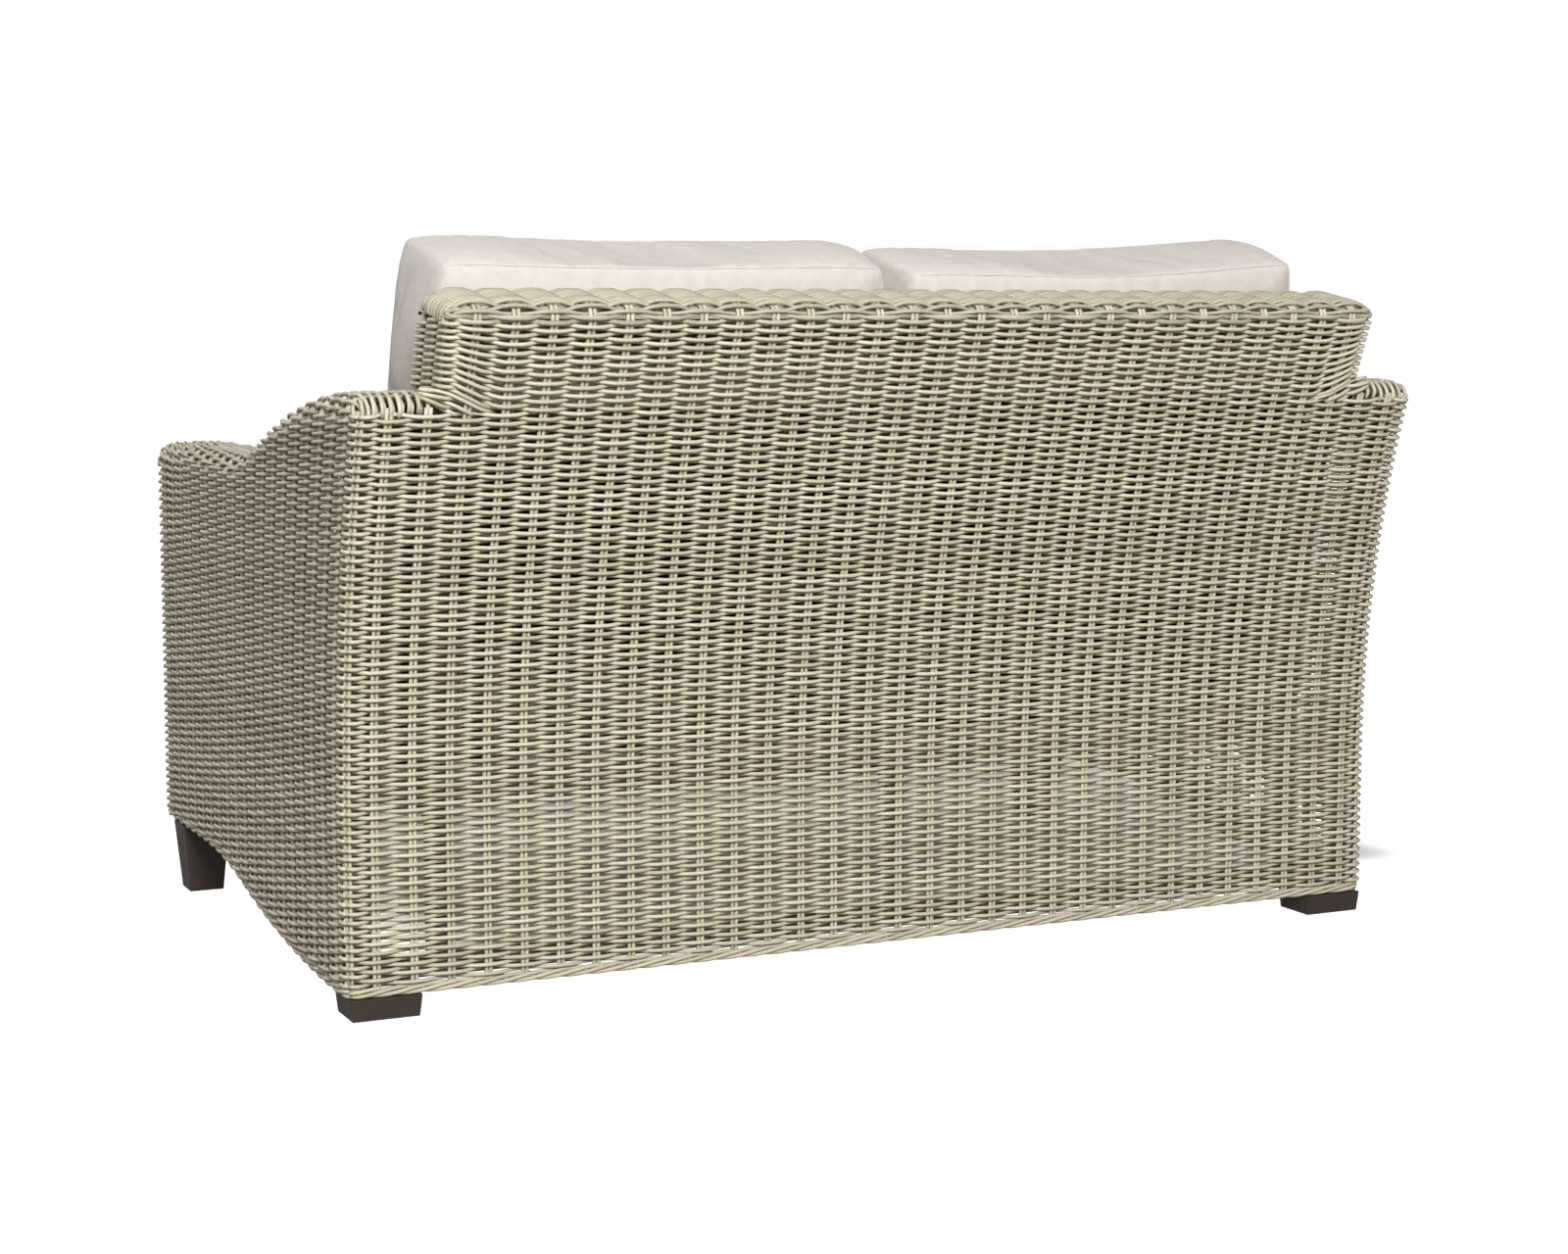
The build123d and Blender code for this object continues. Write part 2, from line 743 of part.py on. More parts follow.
def cushion_plan(wide, long):
    """Plan of a boxed cushion: each side is drawn in a little between the corners."""
    x = wide / 2
    y = long / 2
    pull = cushion_pull
    sides = [
        ThreePointArc((-x, -y), (0, -y + pull), (x, -y)),
        ThreePointArc((x, -y), (x - pull, 0), (x, y)),
        ThreePointArc((x, y), (0, y - pull), (-x, y)),
        ThreePointArc((-x, y), (-x + pull, 0), (-x, -y)),
    ]
    plan = make_face(sides)
    return fillet(plan.vertices(), cushion_corner_radius)


def crown_radius(wide, long, crown):
    """Radius of the large ball whose cap gives a cushion its crown."""
    return ((wide / 2) ** 2 + (long / 2) ** 2 + crown**2) / (2 * crown)


def crown_ball(wide, long, seam_height, crown):
    """The large ball whose cap gives a cushion its crown above the seam."""
    radius = crown_radius(wide, long, crown)
    return Pos(0, 0, seam_height + crown - radius) * Sphere(radius)


def cushion(wide, long, boxing, crown, flat_base):
    """A filled cushion with crowned faces; its seams lie boxing apart."""
    low_crown = 0.0 if flat_base else crown
    height = boxing + crown + low_crown
    prism = Pos(0, 0, -low_crown) * extrude(cushion_plan(wide, long), amount=height)
    body = prism & crown_ball(wide, long, boxing, crown)
    if not flat_base:
        body = body & (Pos(0, 0, boxing) * Rot(180, 0, 0) * crown_ball(wide, long, boxing, crown))
    faces = body.faces().sort_by(Axis.Z)
    seams = faces[-1].edges() if flat_base else faces[-1].edges() + faces[0].edges()
    return fillet(seams, cushion_edge_radius)


def cover_and_core(shape, wide, long, boxing, crown, flat_base):
    """The sewn cover as a thin shell, and the core that fills it."""
    pieces = []
    for inset in (0.0, cover_thickness, cover_thickness + core_gap):
        size = (wide - 2 * inset, long - 2 * inset, boxing - 2 * inset)
        pieces.append(shape(inset, Pos(0, 0, inset) * cushion(*size, crown, flat_base)))
    return pieces[0] - pieces[1], pieces[2]


def seat_cushion_place():
    """Where the +X seat cushion lies, and its width and length."""
    x_low = cushion_middle_gap / 2
    x_high = arm_inner_x - cushion_side_gap
    y_low = front_y + seat_cushion_front_gap
    y_high = rear_face_y - back_thickness - cushion_side_gap
    place = Pos((x_low + x_high) / 2, (y_low + y_high) / 2, deck_height + cushion_rest_gap)
    return place, x_high - x_low, y_high - y_low


def seat_cushion():
    """Cover and core of the +X seat cushion."""
    place, wide, long = seat_cushion_place()
    size = (wide, long, seat_cushion_height, seat_cushion_crown, True)
    return cover_and_core(lambda inset, body: place * body, *size)


def under_seat_top(gap, foot_y):
    """Space below the plane that lies gap above the crowned seat cushion and is level with it at foot_y."""
    place, wide, long = seat_cushion_place()
    radius = crown_radius(wide, long, seat_cushion_crown)
    turn = math.asin((foot_y - place.position.Y) / radius)
    centre = place * Pos(0, 0, seat_cushion_height + seat_cushion_crown - radius)
    return centre * Rot(-math.degrees(turn), 0, 0) * Pos(0, 0, radius + gap - depth / 2) * Box(width, width, depth)


def back_cushion():
    """Cover and core of the +X back cushion, leaning on the backrest."""
    x_low = cushion_middle_gap / 2
    x_high = arm_inner_x - cushion_side_gap
    lean = math.radians(back_cushion_lean)
    top_z = back_height + cushion_above_back - back_cushion_boxing * math.sin(lean)
    rise = top_z - deck_height - seat_cushion_height + back_cushion_sink
    touch_radius = rake_radius + back_thickness
    touch_y = rake_centre_y - touch_radius * math.cos(lean)
    touch_z = rake_start + touch_radius * math.sin(lean)
    middle_z = top_z - rise / 2
    middle_y = touch_y + (middle_z - touch_z) * math.tan(lean)
    place = Pos((x_low + x_high) / 2, middle_y, middle_z) * Rot(90 - back_cushion_lean, 0, 0)
    foot_y = touch_y - back_cushion_boxing / 2

    def seated(inset, body):
        """Fit the cushion to the back that it leans on and the seat that it stands on."""
        gap = cushion_rest_gap + inset
        body = place * body - across(back_outline(-gap), -half_width, half_width)
        return body - under_seat_top(gap, foot_y)

    size = (x_high - x_low, rise / math.cos(lean), back_cushion_boxing, back_cushion_crown, False)
    return cover_and_core(seated, *size)


def build():
    """All the pieces by name."""
    pieces = {}
    pieces.update(seat_frame())
    pieces.update(back_frame())
    pieces.update(back_panels())
    pieces.update(legs())
    pieces["seat_deck"] = seat_deck()
    pieces["front_apron_weave"] = front_apron()
    pieces["front_border"] = block(
        -arm_inner_x,
        arm_inner_x,
        apron_y,
        apron_rear_y,
        front_skirt_height,
        front_skirt_height + border_height,
    )
    paired = {}
    paired.update(arm_frame())
    paired.update(arm_panels())
    paired["seat_cushion_cover"], paired["seat_cushion_core"] = seat_cushion()
    paired["back_cushion_cover"], paired["back_cushion_core"] = back_cushion()
    for name, piece in paired.items():
        pieces[f"left_{name}"] = piece
        pieces[f"right_{name}"] = mirror(piece, about=Plane.YZ)
    return pieces


os.makedirs("parts", exist_ok=True)
for name, piece in build().items():
    solids = piece.solids()
    export_step(solids[0] if len(solids) == 1 else Compound(solids), f"parts/{name}.step")
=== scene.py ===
import json
import math

import bpy
import numpy as np
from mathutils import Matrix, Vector


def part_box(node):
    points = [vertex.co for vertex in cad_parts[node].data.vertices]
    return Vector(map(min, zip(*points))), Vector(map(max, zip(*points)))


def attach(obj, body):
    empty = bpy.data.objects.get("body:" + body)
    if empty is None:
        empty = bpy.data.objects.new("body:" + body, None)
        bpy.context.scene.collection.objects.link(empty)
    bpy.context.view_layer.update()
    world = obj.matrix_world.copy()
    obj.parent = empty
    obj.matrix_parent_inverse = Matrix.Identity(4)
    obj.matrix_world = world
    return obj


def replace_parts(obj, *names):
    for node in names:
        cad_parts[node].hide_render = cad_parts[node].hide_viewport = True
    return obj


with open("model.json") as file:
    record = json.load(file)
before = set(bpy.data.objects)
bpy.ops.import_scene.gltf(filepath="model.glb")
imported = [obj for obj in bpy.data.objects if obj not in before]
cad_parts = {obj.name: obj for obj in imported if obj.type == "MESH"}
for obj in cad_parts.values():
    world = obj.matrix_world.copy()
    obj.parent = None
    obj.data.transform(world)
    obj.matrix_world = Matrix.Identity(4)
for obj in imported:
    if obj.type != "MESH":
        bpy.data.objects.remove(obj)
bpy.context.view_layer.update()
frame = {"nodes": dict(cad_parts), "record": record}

# Metres. X runs across the seat, Y from the front to the back and Z up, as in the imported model.

# Overall sizes of the frame
HALF_WIDTH = 0.750
FRONT_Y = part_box("left_arm_front_weave")[0].y
ARM_INNER_X = 0.636
BACK_HALF = 0.650
BACK_THICKNESS = 0.124
REAR_FACE_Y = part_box("rear_border")[1].y

# Rear face: upright, then one long arc that leans back
RAKE_START = 0.230
RAKE_RADIUS = 1.515
RAKE_CENTRE_Y = REAR_FACE_Y + RAKE_RADIUS

# Top of the backrest: a slope that falls to the rear, between a tight rear edge and a full front edge
BACK_HEIGHT = 0.876
TOP_TILT = math.radians(10)
REAR_EDGE = 0.022
FRONT_EDGE = 0.040
FRONT_REACH = RAKE_RADIUS + BACK_THICKNESS - FRONT_EDGE
FRONT_TURN = math.asin((BACK_HEIGHT - FRONT_EDGE - RAKE_START) / FRONT_REACH)
TOP_DISTANCE = FRONT_EDGE + FRONT_REACH * math.sin(FRONT_TURN - TOP_TILT)
REAR_REACH = RAKE_RADIUS + REAR_EDGE
REAR_TURN = TOP_TILT + math.asin((TOP_DISTANCE - REAR_EDGE) / REAR_REACH)

# S line of the arm and swept line of the skirt: start, first run, second run and both heights
ARM_TOP = 0.757
CREST_Y = RAKE_CENTRE_Y - math.sqrt(RAKE_RADIUS**2 - (ARM_TOP - RAKE_START) ** 2) - 0.061
ARM_LINE = (CREST_Y - 0.560, 0.140, 0.420, 0.660, ARM_TOP)
SKIRT_LINE = (REAR_FACE_Y - 0.706, 0.210, 0.480, 0.100, 0.029)
OUTER_EDGE = 0.028
INNER_EDGE = 0.022
BACK_EDGE = 0.021
BORDER = 0.014
REAR_TOP_ROW = 0.734
WRAP_TOP = 0.842
DECK_TOP = 0.290
APRON_Y = FRONT_Y + 0.012

# Weave: single weavers over and under pairs of stakes
ROW_PITCH = 0.0055
WEAVER = 0.00255
STAKE = 0.0025
STAKE_SPREAD = 0.0028
WAVE = WEAVER + STAKE
MIDDLE_INSET = WAVE + WEAVER
STAKE_PITCH = 0.047
REAR_STAKE_X = 0.705
REAR_SPANS = 30
SIDE_SPANS = 18
CORNER_STEP = 0.0186
RINGS_PER_SPAN = 5
WEAVER_SIDES = 6
DECK_SIDES = 5
ROW_TILT = 0.040
FAN_RISE = 0.028
FAN_RUN = 0.18

MIRROR = np.array([-1.0, 1.0, 1.0])
rng = np.random.default_rng(36)


# Surfaces that the weave follows


def s_line(y, line):
    """Height and slope of two tangent arcs that swing from one height to the other, level outside them."""
    start, first, second, low, high = line
    side = math.copysign(1, high - low)
    turn = 2 * math.atan(abs(high - low) / (first + second))
    first_radius = first / math.sin(turn)
    second_radius = second / math.sin(turn)
    near = np.clip(y - start, 0, first)
    far = np.clip(start + first + second - y, 0, second)
    near_rise = first_radius - np.sqrt(first_radius**2 - near**2)
    far_rise = second_radius - np.sqrt(second_radius**2 - far**2)
    in_first = y < start + first
    height = np.where(in_first, low + side * near_rise, high - side * far_rise)
    slope = np.where(in_first, near / (first_radius - near_rise), far / (second_radius - far_rise))
    return height, side * slope


def rake_y(z, inset):
    """Y of the surface that lies inset in front of the rear face: upright, then an arc about one centre."""
    rise = np.maximum(z - RAKE_START, 0)
    return RAKE_CENTRE_Y - np.sqrt((RAKE_RADIUS + inset) ** 2 - rise**2)


def rake_height(arc):
    """Height of the point that lies this far along the rear face, measured from the floor."""
    return np.where(arc < RAKE_START, arc, RAKE_START + RAKE_RADIUS * np.sin((arc - RAKE_START) / RAKE_RADIUS))


def rake_normal(z):
    """Outward direction of the rear face at this height."""
    angle = np.arcsin(np.maximum(z - RAKE_START, 0) / RAKE_RADIUS)
    return np.stack([np.zeros_like(angle), np.cos(angle), -np.sin(angle)], -1)


def row_level(height, y, rear_y):
    """Height at y of the side row that starts at the rear corner at this height.

    The row falls towards the front by a parabola, and near the front top corner it climbs again.
    """
    front = FRONT_Y + OUTER_EDGE
    share = np.clip((y - front) / (rear_y - front), 0, 1)
    fall = ROW_TILT * (1 - share**2)
    climb = np.clip((front + FAN_RUN - y) / FAN_RUN, 0, 1) ** 2
    near_top = np.clip((height - ROW_TILT - 0.50) / 0.16, 0, 1)
    return height - fall + FAN_RISE * climb * near_top


def arm_point(y, climb, inner):
    """Point and normal of the arm's woven surface at y, climb above the start of its rounded shoulder.

    Below the shoulder the surface is upright, then it is a quarter round, then it is flat towards the middle.
    """
    edge = INNER_EDGE if inner else OUTER_EDGE
    radius = edge - MIDDLE_INSET
    centre_x = ARM_INNER_X + edge if inner else HALF_WIDTH - edge
    side = -1 if inner else 1
    top, slope = s_line(y, ARM_LINE)
    angle = np.clip(climb / radius, 0, math.pi / 2)
    below = np.minimum(climb, 0)
    beyond = np.maximum(climb - radius * math.pi / 2, 0)
    x = centre_x + side * (radius * np.cos(angle) - beyond)
    z = top - edge + below + radius * np.sin(angle)
    tilt = np.arctan(slope)
    normal = np.stack([side * np.cos(angle), -np.sin(angle) * np.sin(tilt), np.sin(angle) * np.cos(tilt)], -1)
    return np.stack([x, y, z], -1), normal


def ridge_climb(inner):
    """How far the middle line of the arm's top lies along the surface from the start of the shoulder."""
    edge = INNER_EDGE if inner else OUTER_EDGE
    half = (HALF_WIDTH - ARM_INNER_X - OUTER_EDGE - INNER_EDGE) / 2
    return (edge - MIDDLE_INSET) * math.pi / 2 + half


# Strands as meshes


def unit(vectors):
    """The same directions with length 1."""
    return vectors / np.linalg.norm(vectors, axis=-1, keepdims=True)


def arc_length(line):
    """Distance of each point along a line from its start."""
    return np.concatenate([[0], np.cumsum(np.linalg.norm(np.diff(line, axis=0), axis=1))])


def at_places(line, length, places):
    """Points of a line at these distances along it."""
    return np.stack([np.interp(places, length, column) for column in line.T], -1)


def round_ring(angles, upright, side):
    """Unit circle across each direction of a line: the cosine along upright plus the sine along side."""
    return np.cos(angles)[None, :, None] * upright[:, None] + np.sin(angles)[None, :, None] * side[:, None]


def wave(phase):
    """Cosine with flattened crests: a weaver lies flat over a pair of stakes and crosses between two pairs."""
    turn = math.pi * phase
    flat = -0.12
    return (np.cos(turn) + flat * np.cos(3 * turn)) / (1 + flat)


def strand_mesh(name, runs, radius, sides=WEAVER_SIDES, slot="resin_weave", look=None):
    """One mesh of closed round strands. Each run has centre points and normals.

    A ring of a strand is its point plus radius times the cosine and sine of evenly spaced angles along the
    normal and along the binormal, which is the cross product of the tangent and the normal.
    """
    angles = np.arange(sides) * 2 * math.pi / sides
    points, coords, tones, counts, loops = [], [], [], [], []
    base = 0
    for centre, normal in runs:
        rings = len(centre)
        tangent = unit(np.gradient(centre, axis=0))
        binormal = unit(np.cross(tangent, normal))
        upright = np.cross(binormal, tangent)
        ring = round_ring(angles, upright, binormal)
        points.append((centre[:, None] + radius * ring).reshape(-1, 3))
        length = arc_length(centre) + rng.random()
        lengthwise, around = np.broadcast_arrays(length[:, None], angles / (2 * math.pi))
        coords.append(np.stack([lengthwise, around], -1).reshape(-1, 2))
        tones.append(np.full(rings * sides, rng.random()))
        first = base + np.arange(rings - 1)[:, None] * sides
        here = first + np.arange(sides)
        beside = first + (np.arange(sides) + 1) % sides
        quads = np.stack([here, beside, beside + sides, here + sides], -1).reshape(-1)
        caps = np.concatenate([base + np.arange(sides)[::-1], base + (rings - 1) * sides + np.arange(sides)])
        loops.append(np.concatenate([quads, caps]))
        counts.append(np.concatenate([np.full((rings - 1) * sides, 4), [sides, sides]]))
        base += rings * sides
    points, coords, counts, loops = (np.concatenate(part) for part in (points, coords, counts, loops))
    starts = np.concatenate([[0], np.cumsum(counts)[:-1]])
    mesh = bpy.data.meshes.new(name)
    mesh.vertices.add(len(points))
    mesh.vertices.foreach_set("co", points.astype(np.float32).ravel())
    mesh.loops.add(len(loops))
    mesh.loops.foreach_set("vertex_index", loops.astype(np.int32))
    mesh.polygons.add(len(counts))
    mesh.polygons.foreach_set("loop_start", starts.astype(np.int32))
    mesh.polygons.foreach_set("loop_total", counts.astype(np.int32))
    mesh.polygons.foreach_set("use_smooth", np.ones(len(counts), bool))
    along = mesh.uv_layers.new(name="along")
    along.data.foreach_set("uv", coords[loops].astype(np.float32).ravel())
    tone = mesh.attributes.new("tone", "FLOAT", "POINT")
    tone.data.foreach_set("value", np.concatenate(tones).astype(np.float32))
    mesh.update()
    return finish_piece(name, mesh, slot, look=look)


def finish_piece(name, mesh, slot, body="root", look=None):
    """Link a finished mesh, give it its material and let it ride."""
    piece = bpy.data.objects.new(name, mesh)
    bpy.context.scene.collection.objects.link(piece)
    if not mesh.materials:
        mesh.materials.append(MATERIALS[look or slot])
    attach(piece, body)
    return piece


def mirrored(runs):
    """The same runs on the other side of the seat."""
    return [(centre * MIRROR, normal * MIRROR) for centre, normal in runs]


def steps(low, high, step=STAKE_PITCH / RINGS_PER_SPAN):
    """Evenly spaced values from low to high, about one step apart."""
    return np.linspace(low, high, max(2, int(round(abs(high - low) / step)) + 1))


def weaver_run(points, normals, phase, row):
    """Push the middle line of a row out and in by its wave, with the small unevenness of hand weaving."""
    wobble = 0.00035 * np.sin(phase * 0.37 + row * 1.7) + 0.0002 * np.sin(phase * 1.13 + row * 2.9)
    tangent = unit(np.gradient(points, axis=0))
    across = np.cross(tangent, normals)
    offset = WAVE * wave(phase + row)
    return points + normals * offset[:, None] + across * wobble[:, None], normals


def pair_runs(points, normals):
    """The two strands of a pair of stakes, side by side along one middle line."""
    tangent = unit(np.gradient(points, axis=0))
    across = unit(np.cross(tangent, normals)) * STAKE_SPREAD
    return [(points + across, normals), (points - across, normals)]


def straight(x, y, z, facing):
    """A run of points with these coordinates, single values repeated, that all face one way."""
    points = np.stack(np.broadcast_arrays(x, y, z), -1)
    return points, np.tile(np.array(facing), (len(points), 1))


UP = (0.0, 0.0, 1.0)
FRONTWARD = (0.0, -1.0, 0.0)
REARWARD = (0.0, 1.0, 0.0)
SIDEWARD = (1.0, 0.0, 0.0)

# Rows and stakes of the arms and the rear face

FRONT_TURN_Y = FRONT_Y + OUTER_EDGE
TURN_X = HALF_WIDTH - OUTER_EDGE
EDGE_RADIUS = OUTER_EDGE - MIDDLE_INSET
ROW_BASE = 0.0455
ROW_COUNT = 140
INNER_ROWS = 147
LEVEL_ROWS = 148
CORNER_STAKE = SIDE_SPANS + 2
# Inner rows keep the heights of the outer rows below this height, and from this row on they are evenly spaced
EVEN_HEIGHT = 0.62
EVEN_ROW = 99
row_heights = rake_height(ROW_BASE + ROW_PITCH * np.arange(LEVEL_ROWS))


def rear_corner_y(z):
    """Y of the centre of the rounded rear corner at this height."""
    return rake_y(z, OUTER_EDGE)


def side_phase(y, z):
    """Stake count along the side: whole numbers lie on a pair of stakes, 1 to 19 from front to rear."""
    low = FRONT_TURN_Y + CORNER_STEP
    high = rear_corner_y(z) - CORNER_STEP
    inside = 1 + SIDE_SPANS * (y - low) / (high - low)
    corner = CORNER_STEP + EDGE_RADIUS * math.pi / 4
    before = 1 - (low - y) / corner
    after = 1 + SIDE_SPANS + (y - high) / corner
    return np.where(y < low, before, np.where(y > high, after, inside))


def rear_corner(z, angles):
    """Points and normals round the upright rear corner: angle 0 faces sideways, a quarter turn the rear."""
    z = np.full(len(angles), z)
    centre_y = rear_corner_y(z)
    depth = rake_y(z, MIDDLE_INSET) - centre_y
    points = np.stack([TURN_X + EDGE_RADIUS * np.cos(angles), centre_y + depth * np.sin(angles), z], -1)
    rear = rake_normal(z)
    normals = np.sin(angles)[:, None] * rear
    normals[:, 0] += np.cos(angles)
    return points, normals


def side_row(row):
    """One weaver of the outer side of the +X arm, from the skirt or the front to the rear corner."""
    height = row_heights[row]
    reaches_rear = height <= REAR_TOP_ROW
    rear_y = rear_corner_y(min(height, ARM_LINE[4] - OUTER_EDGE))
    y = steps(FRONT_TURN_Y, rear_y, STAKE_PITCH / RINGS_PER_SPAN / 4)
    level = row_level(height, y, rear_y)
    top = s_line(y, ARM_LINE)[0]
    climb = level - (top - OUTER_EDGE)
    floor = s_line(y, SKIRT_LINE)[0] + BORDER * 0.7
    kept = (climb <= ridge_climb(False)) & (level >= floor)
    if kept.sum() < 8:
        return None
    y = steps(y[kept][0], rear_y)
    level = row_level(height, y, rear_y)
    climb = level - (s_line(y, ARM_LINE)[0] - OUTER_EDGE)
    points, normals = arm_point(y, climb, False)
    phase = side_phase(y, np.minimum(level, ARM_LINE[4] - OUTER_EDGE))
    if reaches_rear:
        angles = np.linspace(0, math.pi / 4, 4)[1:]
        more, more_normals = rear_corner(height, angles)
        points = np.concatenate([points, more])
        normals = np.concatenate([normals, more_normals])
        phase = np.concatenate([phase, phase[-1] + (CORNER_STAKE - phase[-1]) * angles / (math.pi / 4)])
    else:
        points, normals, phase = over_end(points, normals, phase, climb[-1], rear=True)
    if y[0] > FRONT_TURN_Y + 0.001:
        return weaver_run(points, normals, phase, row)
    if climb[0] > 0:
        points, normals, phase = over_end(points, normals, phase, climb[0], rear=False)
        return weaver_run(points, normals, phase, row)
    angles = np.linspace(math.pi / 4, 0, 4)[:-1]
    front_turn = [TURN_X + EDGE_RADIUS * np.cos(angles), FRONT_TURN_Y - EDGE_RADIUS * np.sin(angles)]
    more = np.stack([*front_turn, np.full(3, level[0])], -1)
    more_normals = np.stack([np.cos(angles), -np.sin(angles), np.zeros(3)], -1)
    points = np.concatenate([more, points])
    normals = np.concatenate([more_normals, normals])
    phase = np.concatenate([phase[0] * (1 - angles / (math.pi / 4)), phase])
    return weaver_run(points, normals, phase, row)


def over_end(points, normals, phase, climb, rear, inner=False):
    """Carry a row of the arm's top over the rounded rear or front end and tuck it under the first level row.

    The strand turns about the end of the shoulder line: its height above that line is its reach beyond it.
    """
    edge = INNER_EDGE if inner else OUTER_EDGE
    radius = edge - MIDDLE_INSET
    last = -1 if rear else 0
    side = 1 if rear else -1
    sine = math.sin(min(max(climb / radius, 0), math.pi / 2))
    cosine = math.sqrt(1 - sine**2)
    turn = np.linspace(0, math.radians(76 if rear else 88), 7)[1:]
    reach = radius * sine
    base = points[last]
    more = np.stack(
        [np.full(6, base[0]), base[1] + side * reach * np.sin(turn), base[2] - reach * (1 - np.cos(turn))], -1
    )
    outward = -1 if inner else 1
    facing = [np.full(6, outward * cosine), side * sine * np.sin(turn), sine * np.cos(turn)]
    more_normals = np.stack(facing, -1)
    count = phase[last] + side * turn * reach / STAKE_PITCH
    tuck = np.array([[0.0, -side * 0.004, -0.009]])
    if rear:
        return (
            np.concatenate([points, more, more[-1:] + tuck]),
            np.concatenate([normals, more_normals, more_normals[-1:]]),
            np.concatenate([phase, count, count[-1:] + 0.2]),
        )
    return (
        np.concatenate([more[-1:] + tuck, more[::-1], points]),
        np.concatenate([more_normals[-1:], more_normals[::-1], normals]),
        np.concatenate([count[-1:] - 0.2, count[::-1], phase]),
    )


def side_rows():
    """All the weavers of the +X arm's outer side and top, without those that would be too short."""
    runs = [side_row(row) for row in range(ROW_COUNT)]
    return [run for run in runs if run is not None]


def rear_row(row):
    """One weaver of the rear face, from the middle of one rear corner to the middle of the other."""
    height = row_heights[row]
    angles = np.linspace(math.pi / 4, math.pi / 2, 4)
    turn, turn_normals = rear_corner(height, angles)
    x = steps(TURN_X, -TURN_X)[1:-1]
    z = np.full(len(x), height)
    flat = np.stack([x, rake_y(z, MIDDLE_INSET), z], -1)
    points = np.concatenate([turn, flat, turn[::-1] * MIRROR])
    normals = np.concatenate([turn_normals, rake_normal(z), turn_normals[::-1] * MIRROR])
    return weaver_run(points, normals, rear_phase(points[:, 0]), row)


def rear_phase(x):
    """Stake count across the rear face, from the +X corner's stakes to those of the -X corner."""
    corner_x = TURN_X + EDGE_RADIUS * math.sqrt(0.5)
    knots = [-corner_x, -REAR_STAKE_X, REAR_STAKE_X, corner_x]
    counts = [CORNER_STAKE + further for further in (REAR_SPANS + 2, REAR_SPANS + 1, 1, 0)]
    return np.interp(x, knots, counts)


def front_row(row, height):
    """One weaver round the front of the +X arm, from the middle of its outer to that of its inner corner."""
    inner_radius = INNER_EDGE - MIDDLE_INSET
    angles = np.linspace(math.pi / 4, math.pi / 2, 4)
    outer = np.stack([TURN_X + EDGE_RADIUS * np.cos(angles), FRONT_TURN_Y - EDGE_RADIUS * np.sin(angles)], -1)
    outer_normal = np.stack([np.cos(angles), -np.sin(angles)], -1)
    inner_x = ARM_INNER_X + INNER_EDGE
    inner_y = FRONT_Y + INNER_EDGE
    inner = np.stack([inner_x - inner_radius * np.cos(angles), inner_y - inner_radius * np.sin(angles)], -1)
    inner_normal = np.stack([-np.cos(angles), -np.sin(angles)], -1)
    x = steps(TURN_X, inner_x)[1:-1]
    flat = np.stack([x, np.full(len(x), FRONT_Y + MIDDLE_INSET)], -1)
    flat_normal = np.tile([0.0, -1.0], (len(x), 1))
    plan = np.concatenate([outer, flat, inner[::-1]])
    plan_normal = np.concatenate([outer_normal, flat_normal, inner_normal[::-1]])
    points = np.column_stack([plan, np.full(len(plan), height)])
    normals = np.column_stack([plan_normal, np.zeros(len(plan))])
    phase = -2 * np.linspace(0, 1, len(plan))
    return weaver_run(points, normals, phase, row)


def front_height(row):
    """Height at which a side row reaches the front corner."""
    return float(row_level(row_heights[row], np.array(FRONT_TURN_Y), rear_corner_y(0.6)))


def front_rows():
    """The weavers of the +X arm's front, each at the height of the side row that it carries on."""
    floor = SKIRT_LINE[3] + BORDER
    ceiling = ARM_LINE[3] - 0.030
    heights = [(row, front_height(row)) for row in range(ROW_COUNT)]
    return [front_row(row, z) for row, z in heights if floor < z < ceiling]


